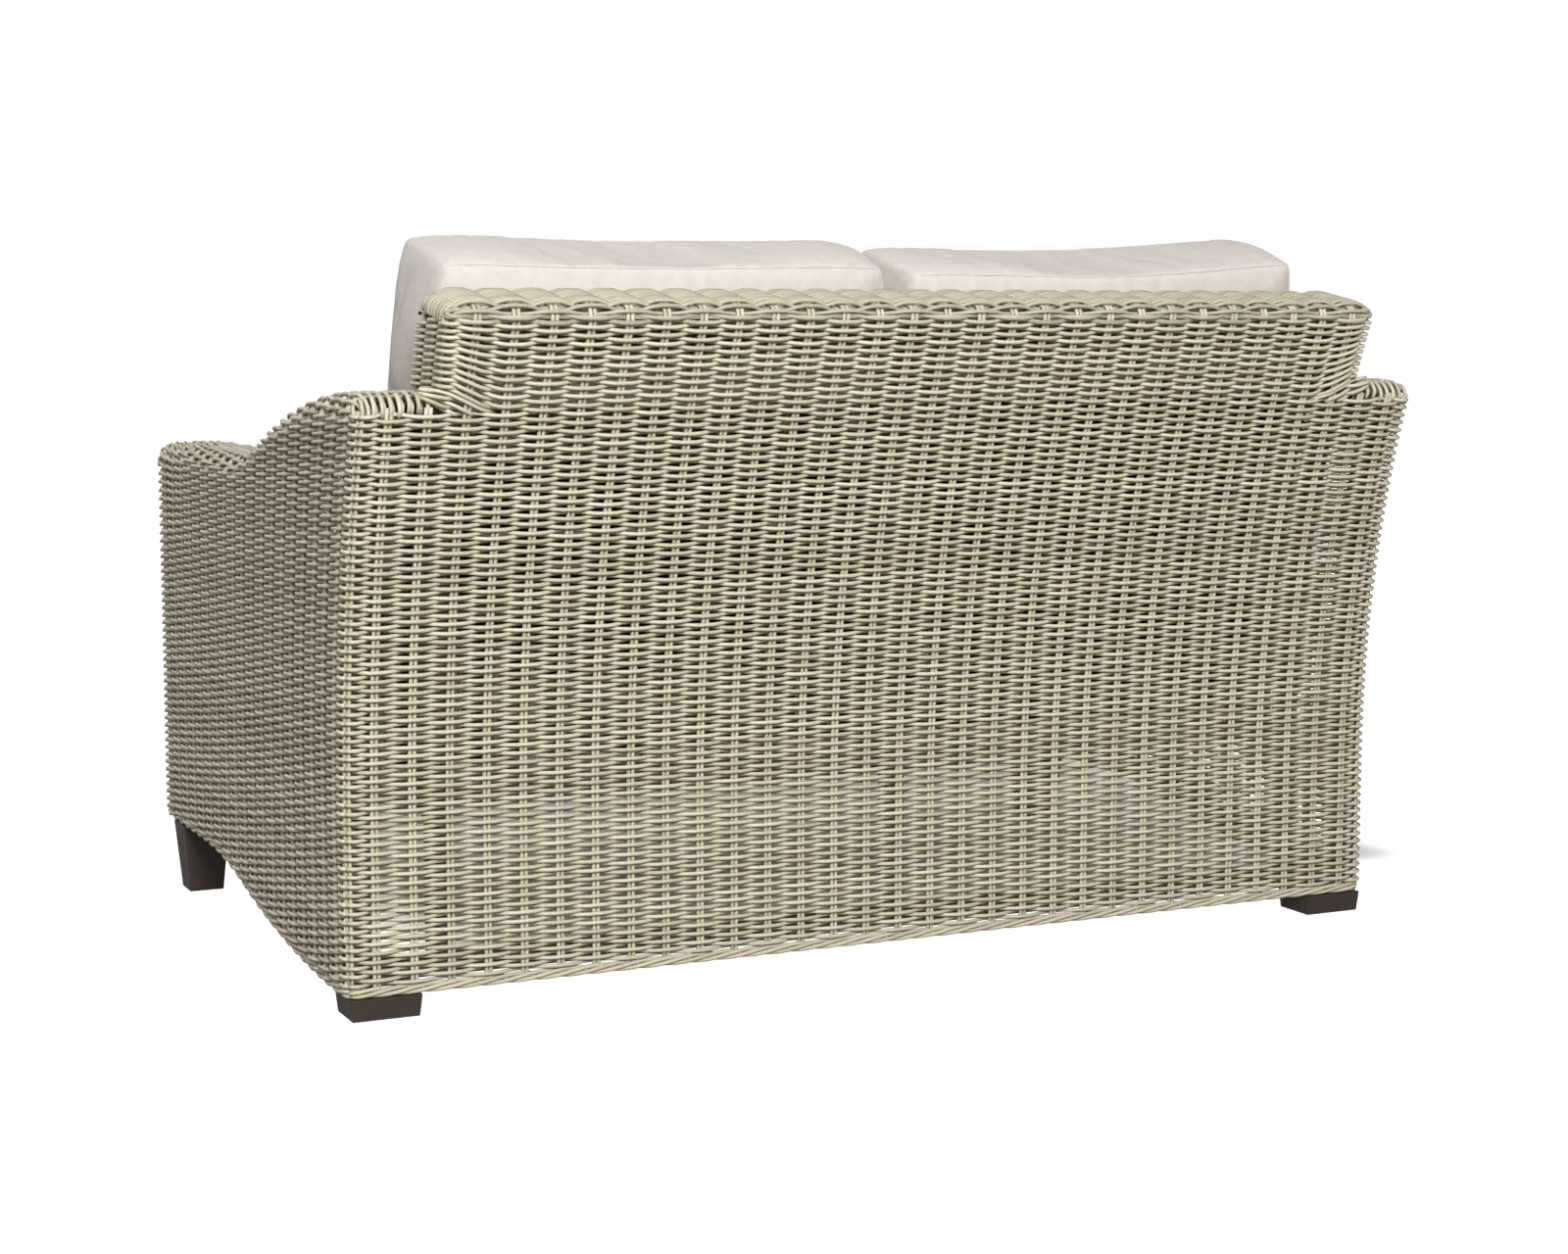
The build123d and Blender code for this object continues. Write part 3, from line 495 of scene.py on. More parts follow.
def inner_row(row):
    """One weaver of the inner side of the +X arm, from its front corner or the slope to the backrest."""
    height = front_height(row)
    if height >= EVEN_HEIGHT:
        height = front_height(EVEN_ROW) + (row - EVEN_ROW) * ROW_PITCH
    if height < DECK_TOP - 0.03:
        return None
    front = FRONT_Y + INNER_EDGE
    y = steps(front, REAR_FACE_Y + 0.05, STAKE_PITCH / RINGS_PER_SPAN / 4)
    climb = height - (s_line(y, ARM_LINE)[0] - INNER_EDGE)
    points = arm_point(y, climb, True)[0]
    before_back = (points[:, 0] > BACK_HALF) | (y < rake_y(points[:, 2], BACK_THICKNESS) + 0.006)
    kept = (climb <= ridge_climb(True)) & before_back
    if kept.sum() < 8:
        return None
    start, end = y[kept][0], y[kept][-1]
    to_rear = end > REAR_FACE_Y + 0.04
    if to_rear:
        end = rear_corner_y(ARM_LINE[4] - OUTER_EDGE) + OUTER_EDGE - INNER_EDGE
    y = steps(start, end)
    climb = height - (s_line(y, ARM_LINE)[0] - INNER_EDGE)
    points, normals = arm_point(y, climb, True)
    phase = side_phase(y, ARM_LINE[4] - OUTER_EDGE)
    if to_rear:
        points, normals, phase = over_end(points, normals, phase, climb[-1], True, inner=True)
    if start < front + 0.001:
        if climb[0] > 0:
            points, normals, phase = over_end(points, normals, phase, climb[0], False, inner=True)
        else:
            radius = INNER_EDGE - MIDDLE_INSET
            angles = np.linspace(math.pi / 4, 0, 4)[:-1]
            centre = (ARM_INNER_X + INNER_EDGE, front)
            front_turn = [centre[0] - radius * np.cos(angles), centre[1] - radius * np.sin(angles)]
            more = np.stack([*front_turn, np.full(3, height)], -1)
            more_normals = np.stack([-np.cos(angles), -np.sin(angles), np.zeros(3)], -1)
            points = np.concatenate([more, points])
            normals = np.concatenate([more_normals, normals])
            phase = np.concatenate([phase[0] * (1 - angles / (math.pi / 4)), phase])
    return weaver_run(points, normals, phase, row)


def inner_rows():
    """All the weavers of the +X arm's inner side."""
    runs = [inner_row(row) for row in range(INNER_ROWS)]
    return [run for run in runs if run is not None]


def stake_y(count, z):
    """Y of a side stake at this height: evenly spread between the front and the leaning rear corner."""
    low = FRONT_TURN_Y + CORNER_STEP
    high = rear_corner_y(z) - CORNER_STEP
    return low + (count - 1) / SIDE_SPANS * (high - low)


def arm_stakes():
    """Pairs of stakes up the outer side of the +X arm, over its top and down its inner side."""
    runs = []
    shoulder_top = ARM_LINE[4] - OUTER_EDGE
    for count in range(1, SIDE_SPANS + 2):
        y_top = float(stake_y(count, shoulder_top))
        bottom = float(s_line(np.array(stake_y(count, 0.1)), SKIRT_LINE)[0]) + BORDER / 3
        shoulder = float(s_line(np.array(y_top), ARM_LINE)[0]) - OUTER_EDGE
        z = steps(bottom, shoulder, 0.02)
        y = stake_y(count, z)
        climb = np.concatenate([z - shoulder, np.linspace(0, ridge_climb(False), 9)[1:]])
        y = np.concatenate([y, np.full(8, y_top)])
        points, normals = arm_point(y, climb, False)
        points[: len(z), 2] = z
        down = np.linspace(ridge_climb(True), 0, 8)[1:]
        inner_z = steps(0, DECK_TOP - 0.03 - shoulder - (OUTER_EDGE - INNER_EDGE), 0.03)[1:]
        inner_climb = np.concatenate([down, inner_z])
        inner_points, inner_normals = arm_point(np.full(len(inner_climb), y_top), inner_climb, True)
        seen = (inner_points[:, 0] > BACK_HALF) | (y_top < rake_y(inner_points[:, 2], BACK_THICKNESS))
        points = np.concatenate([points, inner_points[seen]])
        normals = np.concatenate([normals, inner_normals[seen]])
        runs += pair_runs(points, normals)
    z = steps(SKIRT_LINE[3] + BORDER / 3, ARM_LINE[3] - 0.03, 0.05)
    for x, y, nx, ny in front_stake_places():
        runs += pair_runs(*straight(x, y, z, (nx, ny, 0.0)))
    return runs


def front_stake_places():
    """Places and directions of the three front stakes of an arm: two in its corners and one between them."""
    half = math.sqrt(0.5)
    inner = INNER_EDGE - MIDDLE_INSET
    return (
        (TURN_X + EDGE_RADIUS * half, FRONT_TURN_Y - EDGE_RADIUS * half, half, -half),
        ((TURN_X + ARM_INNER_X + INNER_EDGE) / 2, FRONT_Y + MIDDLE_INSET, 0.0, -1.0),
        (ARM_INNER_X + INNER_EDGE - inner * half, FRONT_Y + INNER_EDGE - inner * half, -half, -half),
    )


# The backrest: level rows round its ends, rows over its top and down its inner face


def section_line(low_rear, low_front, step=0.0015):
    """Points and normals in Y, Z of the weave's middle, from the rear face over the top to the inner face.

    Both faces are arcs about the rake's centre. The top is a straight slope between two quarter rounds.
    """
    over = math.pi / 2 - TOP_TILT
    rear_radius = RAKE_RADIUS + MIDDLE_INSET
    front_radius = RAKE_RADIUS + BACK_THICKNESS - MIDDLE_INSET
    rear_centre = rake_point(REAR_REACH, REAR_TURN)
    front_centre = rake_point(FRONT_REACH, FRONT_TURN)
    rear_low = math.asin((low_rear - RAKE_START) / rear_radius)
    front_low = math.asin((low_front - RAKE_START) / front_radius)
    up = steps(rear_low, REAR_TURN, step / rear_radius)
    rear_over = steps(-REAR_TURN, over, step / REAR_EDGE)[1:]
    front_over = steps(over, math.pi - FRONT_TURN, step / FRONT_EDGE)[1:-1]
    down = steps(FRONT_TURN, front_low, step / front_radius)
    rear_top = rear_centre + (REAR_EDGE - MIDDLE_INSET) * direction(over)
    front_top = front_centre + (FRONT_EDGE - MIDDLE_INSET) * direction(over)
    share = steps(0, 1, step / np.linalg.norm(front_top - rear_top))[1:, None]
    points = (
        rake_point(rear_radius, up),
        rear_centre + (REAR_EDGE - MIDDLE_INSET) * direction(rear_over),
        rear_top + share * (front_top - rear_top),
        front_centre + (FRONT_EDGE - MIDDLE_INSET) * direction(front_over),
        rake_point(front_radius, down),
    )
    normals = (
        direction(-up),
        direction(rear_over),
        np.tile(direction(over), (len(share), 1)),
        direction(front_over),
        -direction(-down),
    )
    return np.concatenate(points), np.concatenate(normals)


def rake_point(radius, turn):
    """Y and Z at this distance from the rake's centre, turned up from the level."""
    turn = np.asarray(turn)
    return np.stack([RAKE_CENTRE_Y - radius * np.cos(turn), RAKE_START + radius * np.sin(turn)], -1)


def direction(angle):
    """Unit direction in Y, Z at this angle above the rearward level."""
    return np.stack([np.cos(angle), np.sin(angle)], -1)


def at_arc(points, normals, arc):
    """Point and normal of a dense line at this distance along it."""
    length = arc_length(points)
    return at_places(points, length, arc), unit(at_places(normals, length, arc)), length[-1]


def end_lift(x, z):
    """Rise of a level row near its ends, to clear the arm's top: most in the lowest row, none 0.11 m above."""
    share = np.clip((np.abs(x) - 0.570) / (BACK_HALF - 0.575), 0, 1)
    smooth = share * share * (3 - 2 * share)
    return 0.025 * smooth * np.clip(1 - (z - REAR_TOP_ROW) / 0.11, 0, 1)


def wrapped_row(row, height):
    """One level weaver round the backrest: inner face, +X end, rear face, -X end and back.

    In plan it is a ring of straight sides and quarter rounds. Stakes count 23 to 19 round each end.
    """
    half = BACK_HALF - BACK_EDGE
    radius = BACK_EDGE - MIDDLE_INSET
    quarter = np.linspace(0, math.pi / 2, 5)
    inner_x = steps(0, half)[:-1]
    rear_x = steps(half, 0)[1:]
    end_share = steps(1, 0, 1 / 9)[1:-1]
    lift = end_lift(BACK_HALF, height)
    rear_y = float(rake_y(height + lift, 0))
    front_y = float(rake_y(height + lift, BACK_THICKNESS))
    corner_rear = rear_y - BACK_EDGE
    corner_front = front_y + BACK_EDGE
    sine, cosine = np.sin(quarter), np.cos(quarter)
    turned = np.stack([half + radius * sine, corner_front - radius * cosine], -1)
    turned_back = np.stack([half + radius * cosine, corner_rear + radius * sine], -1)
    end_y = corner_rear + end_share * (corner_front - corner_rear)
    end = np.stack([np.full(len(end_y), half + radius), end_y], -1)
    inner = np.stack([inner_x, rake_y(height + end_lift(inner_x, height), BACK_THICKNESS - MIDDLE_INSET)], -1)
    rear = np.stack([rear_x, rake_y(height + end_lift(rear_x, height), MIDDLE_INSET)], -1)
    plan = np.concatenate([inner, turned, end, turned_back, rear])
    turn_normal = np.stack([sine, -cosine], -1)
    turn_back_normal = np.stack([cosine, sine], -1)
    ways = (((0, -1), inner), ((1, 0), end), ((0, 1), rear))
    ahead, out, behind = (np.tile(way, (len(part), 1)) for way, part in ways)
    facing = np.concatenate([ahead, turn_normal, out, turn_back_normal, behind])
    z = height + end_lift(plan[:, 0], height)
    first = REAR_STAKE_X - 2 * STAKE_PITCH
    run = arc_length(plan)
    start = np.interp(first, inner[:, 0], run[: len(inner)])
    finish = np.interp(-first, -rear[:, 0], run[-len(rear) :])
    phase = CORNER_STAKE - 1 + 4 * (run - start) / (finish - start)
    on_inner = run < start
    on_rear = run > finish
    phase[on_inner] = 2 * (CORNER_STAKE + 1) - rear_phase(plan[on_inner, 0])
    phase[on_rear] = rear_phase(plan[on_rear, 0])
    points = np.column_stack([plan, z])
    slant = np.clip((z - RAKE_START) / RAKE_RADIUS, 0, 1)
    normals = unit(np.column_stack([facing[:, 0], facing[:, 1], -slant * facing[:, 1]]))
    points = np.concatenate([points, (points * MIRROR)[::-1][1:]])
    normals = np.concatenate([normals, (normals * MIRROR)[::-1][1:]])
    phase = np.concatenate([phase, 2 * (CORNER_STAKE + 1) + REAR_SPANS - phase[::-1][1:]])
    return weaver_run(points, normals, phase, row)


def back_row(row, place, normal, end_run):
    """One weaver of the backrest along X, which turns at each end and runs end_run across the end face."""
    half = BACK_HALF - BACK_EDGE
    radius = BACK_EDGE - MIDDLE_INSET
    x = steps(half, -half)
    flat = np.column_stack([x, np.tile(place, (len(x), 1))])
    flat_normal = np.column_stack([np.zeros(len(x)), np.tile(normal, (len(x), 1))])
    angles = np.linspace(math.pi / 2, 0, 6)[:-1]
    inward = steps(end_run, 0, 0.006)[:-1]
    tuck = 0.007 * np.clip(inward / max(end_run, 0.001) - 0.5, 0, 1) * 2
    reach = np.concatenate([half + radius - tuck, half + radius * np.sin(angles)])
    depth = np.concatenate([radius + inward, radius * (1 - np.cos(angles))])
    turn = np.column_stack([reach, place[0] - normal[0] * depth, place[1] - normal[1] * depth])
    sine = np.concatenate([np.ones(len(inward)), np.sin(angles)])
    cosine = np.concatenate([np.zeros(len(inward)), np.cos(angles)])
    turn_normal = np.column_stack([sine, cosine * normal[0], cosine * normal[1]])
    points = np.concatenate([turn, flat, turn[::-1] * MIRROR])
    normals = np.concatenate([turn_normal, flat_normal, turn_normal[::-1] * MIRROR])
    phase = rear_phase(points[:, 0])
    extra = np.concatenate([inward, np.zeros(len(angles))]) / STAKE_PITCH
    phase[: len(extra)] -= extra
    phase[-len(extra) :] += extra[::-1]
    return weaver_run(points, normals, phase, row)


def back_rows():
    """All the weavers of the backrest above the arms and of its inner face, in three groups."""
    groups = {"wrapped": [], "top": [], "inner": []}
    level = [row for row in range(LEVEL_ROWS) if REAR_TOP_ROW < row_heights[row] <= WRAP_TOP]
    for row in level:
        groups["wrapped"].append(wrapped_row(row, row_heights[row]))
    section, section_normal = section_line(rake_height(ROW_BASE + ROW_PITCH * (level[-1] + 1)), DECK_TOP)
    total = at_arc(section, section_normal, 0)[2]
    row = level[-1] + 1
    for arc in np.arange(0.0, total, ROW_PITCH):
        place, normal, _ = at_arc(section, section_normal, arc)
        if normal[0] < -0.9:
            if not REAR_TOP_ROW - 0.004 < place[1] < WRAP_TOP:
                groups["inner"].append(back_row(row, place, normal, 0.0))
        else:
            edge = 0.004 if abs(normal[0] - math.sin(TOP_TILT)) > 0.03 else 0.011 + 0.006 * (row % 2)
            groups["top"].append(back_row(row, place, normal, edge))
        row += 1
    return groups


def foot_strands():
    """Strands that fill the corner between the backrest's +X end and the arm, under the lowest wrapped row.

    Each follows that row, lower by its share of the gap, and ends behind the top row of the rear face.
    """
    runs = []
    lowest = float(row_heights[row_heights > REAR_TOP_ROW][0])
    for order in range(1, 6):
        x = steps(0.668, 0.562, 0.004)
        z = lowest + end_lift(x, lowest) - 0.0049 * order
        z += 0.003 * np.clip((x - 0.640) / 0.028, 0, 1) * order
        kept = z > REAR_TOP_ROW - 0.0045
        if kept.sum() < 6:
            continue
        x, z = x[kept], z[kept]
        inset = np.full(len(x), MIDDLE_INSET + 0.001)
        inset[:3] += np.array([0.006, 0.003, 0.001])
        inset[-3:] += np.array([0.001, 0.003, 0.006])
        points = np.stack([x, rake_y(z, inset), z], -1)
        runs.append(weaver_run(points, rake_normal(z), rear_phase(x), order))
    return runs


END_STAKE_INSETS = (0.022, 0.062, 0.102)


def end_stakes():
    """Three pairs of stakes up the +X end of the backrest, which lean with the rake."""
    runs = []
    z = steps(ARM_TOP - 0.020, WRAP_TOP + 0.010, 0.02)
    for inset in END_STAKE_INSETS:
        runs += pair_runs(*straight(BACK_HALF - MIDDLE_INSET, rake_y(z, inset), z, SIDEWARD))
    return runs


def rear_stakes():
    """Pairs of stakes up the rear face; the inner ones go on over the top and down the inner face."""
    runs = []
    z = steps(SKIRT_LINE[4] + BORDER / 3, REAR_TOP_ROW + 0.004, 0.02)
    section, section_normal = section_line(REAR_TOP_ROW + 0.004, DECK_TOP - 0.01, 0.012)
    for count in range(REAR_SPANS + 1):
        x = REAR_STAKE_X - count * 2 * REAR_STAKE_X / REAR_SPANS
        points = np.stack([np.full(len(z), x), rake_y(z, MIDDLE_INSET), z], -1)
        normals = rake_normal(z)
        if abs(x) < BACK_HALF - 0.01:
            points = np.concatenate([points[:-1], np.column_stack([np.full(len(section), x), section])])
            normals = np.concatenate([normals[:-1], np.column_stack([np.zeros(len(section)), section_normal])])
        runs += pair_runs(points, normals)
    corner, corner_normal = [], []
    for height in steps(SKIRT_LINE[4] + BORDER / 3, REAR_TOP_ROW, 0.03):
        point, normal = rear_corner(height, np.array([math.pi / 4]))
        corner.append(point[0])
        corner_normal.append(normal[0])
    pair = pair_runs(np.array(corner), unit(np.array(corner_normal)))
    ends = end_stakes()
    return runs + pair + mirrored(pair) + ends + mirrored(ends)


# Borders, the front apron and the seat deck

APRON_GAP = 0.0015
DECK_MARGIN = 0.012
LEVEL_STAKES = [REAR_STAKE_X - count * STAKE_PITCH for count in range(2, REAR_SPANS - 1)]


def stake_count(x):
    """Whole numbers lie on the pairs of stakes that run up the front apron and along the deck."""
    return (x + REAR_STAKE_X) / STAKE_PITCH


def apron_rows():
    """Level weavers of the front apron, up to its top edge."""
    x = steps(ARM_INNER_X - APRON_GAP, -ARM_INNER_X + APRON_GAP)
    first = SKIRT_LINE[3] + BORDER + 0.002
    count = int((DECK_TOP - MIDDLE_INSET - first) / ROW_PITCH) + 1
    levels = [first + row * ROW_PITCH for row in range(count)]
    runs = [straight(x, APRON_Y + MIDDLE_INSET, z, FRONTWARD) for z in levels]
    return [weaver_run(*run, stake_count(x), row) for row, run in enumerate(runs)]


def deck_rows():
    """Weavers of the seat deck, which the seat cushions hide."""
    x = steps(ARM_INNER_X, -ARM_INNER_X, STAKE_PITCH / 3)
    places = np.arange(APRON_Y + DECK_MARGIN, deck_rear(), ROW_PITCH * 1.15)
    runs = [straight(x, y, DECK_TOP - MIDDLE_INSET, UP) for y in places]
    return [weaver_run(*run, stake_count(x), row) for row, run in enumerate(runs)]


def deck_rear():
    """Y where the deck ends, a little inside the backrest."""
    return float(rake_y(np.array(DECK_TOP), BACK_THICKNESS)) + 0.02


def apron_stakes():
    """Pairs of upright stakes of the front apron."""
    z = steps(SKIRT_LINE[3] + BORDER / 3, DECK_TOP - MIDDLE_INSET, 0.03)
    pairs = [pair_runs(*straight(x, APRON_Y + MIDDLE_INSET, z, FRONTWARD)) for x in LEVEL_STAKES]
    return [run for pair in pairs for run in pair]


def deck_stakes():
    """Pairs of stakes along the deck, from the apron to the backrest."""
    y = steps(APRON_Y + DECK_MARGIN, deck_rear(), 0.3)
    pairs = [pair_runs(*straight(x, y, DECK_TOP - MIDDLE_INSET, UP)) for x in LEVEL_STAKES]
    return [run for pair in pairs for run in pair]


# Plaits: strands, half height, half depth and length of one turn
SIDE_PLAIT = (3, 0.0036, 0.0026, 0.11)
LEVEL_PLAIT = (4, 0.0042, 0.0028, 0.14)
PLAIT_STRAND = 0.0027
PLAIT_STEP = 0.006


def plait_runs(points, normals, strands, half_height, half_depth, lay):
    """Strands that wind round one line: each is the line plus a turning offset across and along the normal."""
    tangent = unit(np.gradient(points, axis=0))
    across = unit(np.cross(tangent, normals))
    length = arc_length(points)
    runs = []
    for strand in range(strands):
        turn = 2 * math.pi * (length / lay + strand / strands)
        sideways = across * (half_height * np.cos(turn))[:, None]
        outwards = normals * (half_depth * np.sin(turn))[:, None]
        runs.append((points + (sideways + outwards), normals))
    return runs


def dense(points, normals, step):
    """The same line with evenly spaced points."""
    length = arc_length(points)
    places = steps(0, length[-1], step)
    return at_places(points, length, places), unit(at_places(normals, length, places))


def border_line():
    """Lower edge of the +X arm, from its inner front corner along front and skirt to the rear corner."""
    z_front = SKIRT_LINE[3] + BORDER / 2
    inner = INNER_EDGE - MIDDLE_INSET
    angles = np.linspace(0, math.pi / 2, 8)
    level = np.full(8, z_front)
    flat = np.zeros(8)
    across, ahead = np.cos(angles), np.sin(angles)
    centre_x, centre_y = ARM_INNER_X + INNER_EDGE, FRONT_Y + INNER_EDGE
    inner_turn = np.stack([centre_x - inner * across, centre_y - inner * ahead, level], -1)
    outer_turn = np.stack([TURN_X + EDGE_RADIUS * ahead, FRONT_TURN_Y - EDGE_RADIUS * across, level], -1)
    y = steps(FRONT_TURN_Y, rear_corner_y(SKIRT_LINE[4]), 0.01)[1:-1]
    side, side_normal = straight(TURN_X + EDGE_RADIUS, y, s_line(y, SKIRT_LINE)[0] + BORDER / 2, SIDEWARD)
    rear, rear_normal = rear_corner(SKIRT_LINE[4] + BORDER / 2, np.linspace(0, math.pi / 4, 4))
    turns = np.stack([-across, -ahead, flat], -1), np.stack([ahead, -across, flat], -1)
    points = np.concatenate([inner_turn, outer_turn, side, rear])
    return points, np.concatenate([*turns, side_normal, rear_normal])


def rear_border_line():
    """Lower edge of the rear face, from the middle of one rear corner to the middle of the other."""
    z = SKIRT_LINE[4] + BORDER / 2
    turn, turn_normal = rear_corner(z, np.linspace(math.pi / 4, math.pi / 2, 4))
    flat, normal = straight(steps(TURN_X, -TURN_X, 0.02)[1:-1], REAR_FACE_Y - MIDDLE_INSET, z, REARWARD)
    points = np.concatenate([turn, flat, turn[::-1] * MIRROR])
    return points, np.concatenate([turn_normal, normal, turn_normal[::-1] * MIRROR])


def front_border_line():
    """Lower edge of the front apron."""
    x = steps(ARM_INNER_X, -ARM_INNER_X, 0.02)
    return straight(x, APRON_Y + MIDDLE_INSET, SKIRT_LINE[3] + BORDER / 2, FRONTWARD)


# Cushions

CUSHION_X = (0.002, 0.633)
SEAT_BOXING = 0.155
SEAT_CROWN = 0.015
SEAT_Y = (FRONT_Y + 0.006, REAR_FACE_Y - BACK_THICKNESS - 0.003)
BACK_BOXING = 0.156
BACK_LEAN = math.radians(13)
LATTICE_STEP = 0.0095
CORNER_LIFT = 0.020
CUSHIONS = (("left", "seat"), ("right", "seat"), ("left", "back"), ("right", "back"))
FIRST_SEED = 11


def box_lattice(counts):
    """Surface of a box of cells: whole-number points, and outward quads that share points along the edges."""
    quads = []
    for axis in range(3):
        first, second = (axis + 1) % 3, (axis + 2) % 3
        i, j = np.meshgrid(np.arange(counts[first]), np.arange(counts[second]), indexing="ij")
        for level in (0, counts[axis]):
            corners = []
            for di, dj in ((0, 0), (1, 0), (1, 1), (0, 1)):
                corner = np.zeros(i.shape + (3,), int)
                corner[..., axis] = level
                corner[..., first] = i + di
                corner[..., second] = j + dj
                corners.append(corner.reshape(-1, 3))
            quad = np.stack(corners, 1)
            quads.append(quad if level else quad[:, ::-1])
    quads = np.concatenate(quads)
    points, index = np.unique(quads.reshape(-1, 3), axis=0, return_inverse=True)
    return points, index.reshape(-1, 4)


def sewn_block(points, counts, half_x, half_y, boxing, crown, flat, taper=0.0, pull=0.010):
    """Boxed cushion before it is filled, in its own frame.

    Plan: each side is drawn in by a parabola between corners, and the corners are eased by a high power of
    both shares. Height: the panels are caps that fall with the square of the distance from the middle. The
    boxing between the seams swells by a parabola.
    """
    u, v, w = (2 * points / np.array(counts) - 1).T
    ease = 1 - 0.018 * (np.abs(u) ** 9) * (np.abs(v) ** 9)
    x = u * (half_x - pull * (1 - v**2)) * ease * (1 - taper * np.clip(v, 0, 1) ** 2)
    y = v * (half_y - pull * (1 - u**2)) * ease
    cap = crown * (1 - (x**2 + y**2) / (half_x**2 + half_y**2))
    low = 0 if flat else -cap
    z = low + (w + 1) / 2 * (boxing + cap - low)
    swell = 0.005 * (1 - w**2)
    x = x + np.sign(u) * swell * np.abs(u) ** 30
    y = y + np.sign(v) * swell * np.abs(v) ** 30
    return np.stack([x, y, z], -1)


def tip_back(points, turn, place):
    """Turn about X, then move to its place."""
    cosine, sine = math.cos(turn), math.sin(turn)
    x, y, z = points.T
    return np.stack([x, y * cosine - z * sine, y * sine + z * cosine], -1) + np.array(place)


def seat_cap():
    """Centre and radius of the large ball whose cap is the top of the +X seat cushion."""
    half_x = (CUSHION_X[1] - CUSHION_X[0]) / 2
    half_y = (SEAT_Y[1] - SEAT_Y[0]) / 2
    radius = (half_x**2 + half_y**2 + SEAT_CROWN**2) / (2 * SEAT_CROWN)
    top = DECK_TOP + 0.0003 + SEAT_BOXING + SEAT_CROWN
    return np.array([sum(CUSHION_X) / 2, sum(SEAT_Y) / 2, top - radius]), radius


def back_touch():
    """Y and Z where the leaning back cushion is tangent to the inner face of the backrest."""
    radius = RAKE_RADIUS + BACK_THICKNESS
    return RAKE_CENTRE_Y - radius * math.cos(BACK_LEAN), RAKE_START + radius * math.sin(BACK_LEAN)


def clear_of_backrest(points, gap):
    """Push points forward out of the backrest: off its raked inner face and off its rounded front top edge."""
    y, z = points[:, 1], points[:, 2]
    out_y, out_z = y - RAKE_CENTRE_Y, z - RAKE_START
    reach = np.hypot(out_y, out_z)
    below = np.arctan2(out_z, -out_y) < FRONT_TURN
    wanted = np.maximum(reach, RAKE_RADIUS + BACK_THICKNESS + gap)
    y1 = RAKE_CENTRE_Y + out_y * wanted / reach
    z1 = RAKE_START + out_z * wanted / reach
    centre = rake_point(FRONT_REACH, FRONT_TURN)
    edge_y, edge_z = y - centre[0], z - centre[1]
    edge_reach = np.maximum(np.hypot(edge_y, edge_z), 1e-6)
    edge_wanted = np.maximum(edge_reach, FRONT_EDGE + gap)
    in_reach = (edge_y < 0.03) & (edge_z > -0.06)
    y2 = np.where(in_reach, centre[0] + edge_y * edge_wanted / edge_reach, y)
    z2 = np.where(in_reach, centre[1] + edge_z * edge_wanted / edge_reach, z)
    raised = z >= RAKE_START
    return np.stack(
        [points[:, 0], np.where(below & raised, y1, y2), np.where(below & raised, z1, z2)], -1
    )


def rest_seat(points):
    """Keep the +X seat cushion between its neighbours, on the deck and under the cap."""
    points = points.copy()
    points[:, 0] = np.clip(points[:, 0], CUSHION_X[0], CUSHION_X[1] + 0.0005)
    points[:, 1] = np.clip(points[:, 1], SEAT_Y[0] - 0.004, SEAT_Y[1] + 0.0015)
    points[:, 2] = np.maximum(points[:, 2], DECK_TOP + 0.0005)
    centre, radius = seat_cap()
    away = points - centre
    reach = np.linalg.norm(away, axis=1)
    foot = back_touch()[0] - BACK_BOXING
    loose = 0.006 * np.clip((foot - 0.03 - points[:, 1]) / 0.10, 0, 1)
    return centre + away * np.minimum(1, (radius + loose) / reach)[:, None]


def rest_back(points):
    """Keep the +X back cushion between its neighbours, off the backrest and on the seat cushion."""
    points = points.copy()
    points[:, 0] = np.clip(points[:, 0], CUSHION_X[0], CUSHION_X[1] + 0.0005)
    points = clear_of_backrest(points, 0.0008)
    centre, radius = seat_cap()
    foot = back_touch()[0] - BACK_BOXING / 2
    turn = math.asin((foot - centre[1]) / radius)
    up = np.array([0.0, math.sin(turn), math.cos(turn)])
    short = radius + 0.0012 - (points - centre) @ up
    return points + np.maximum(short, 0)[:, None] * up


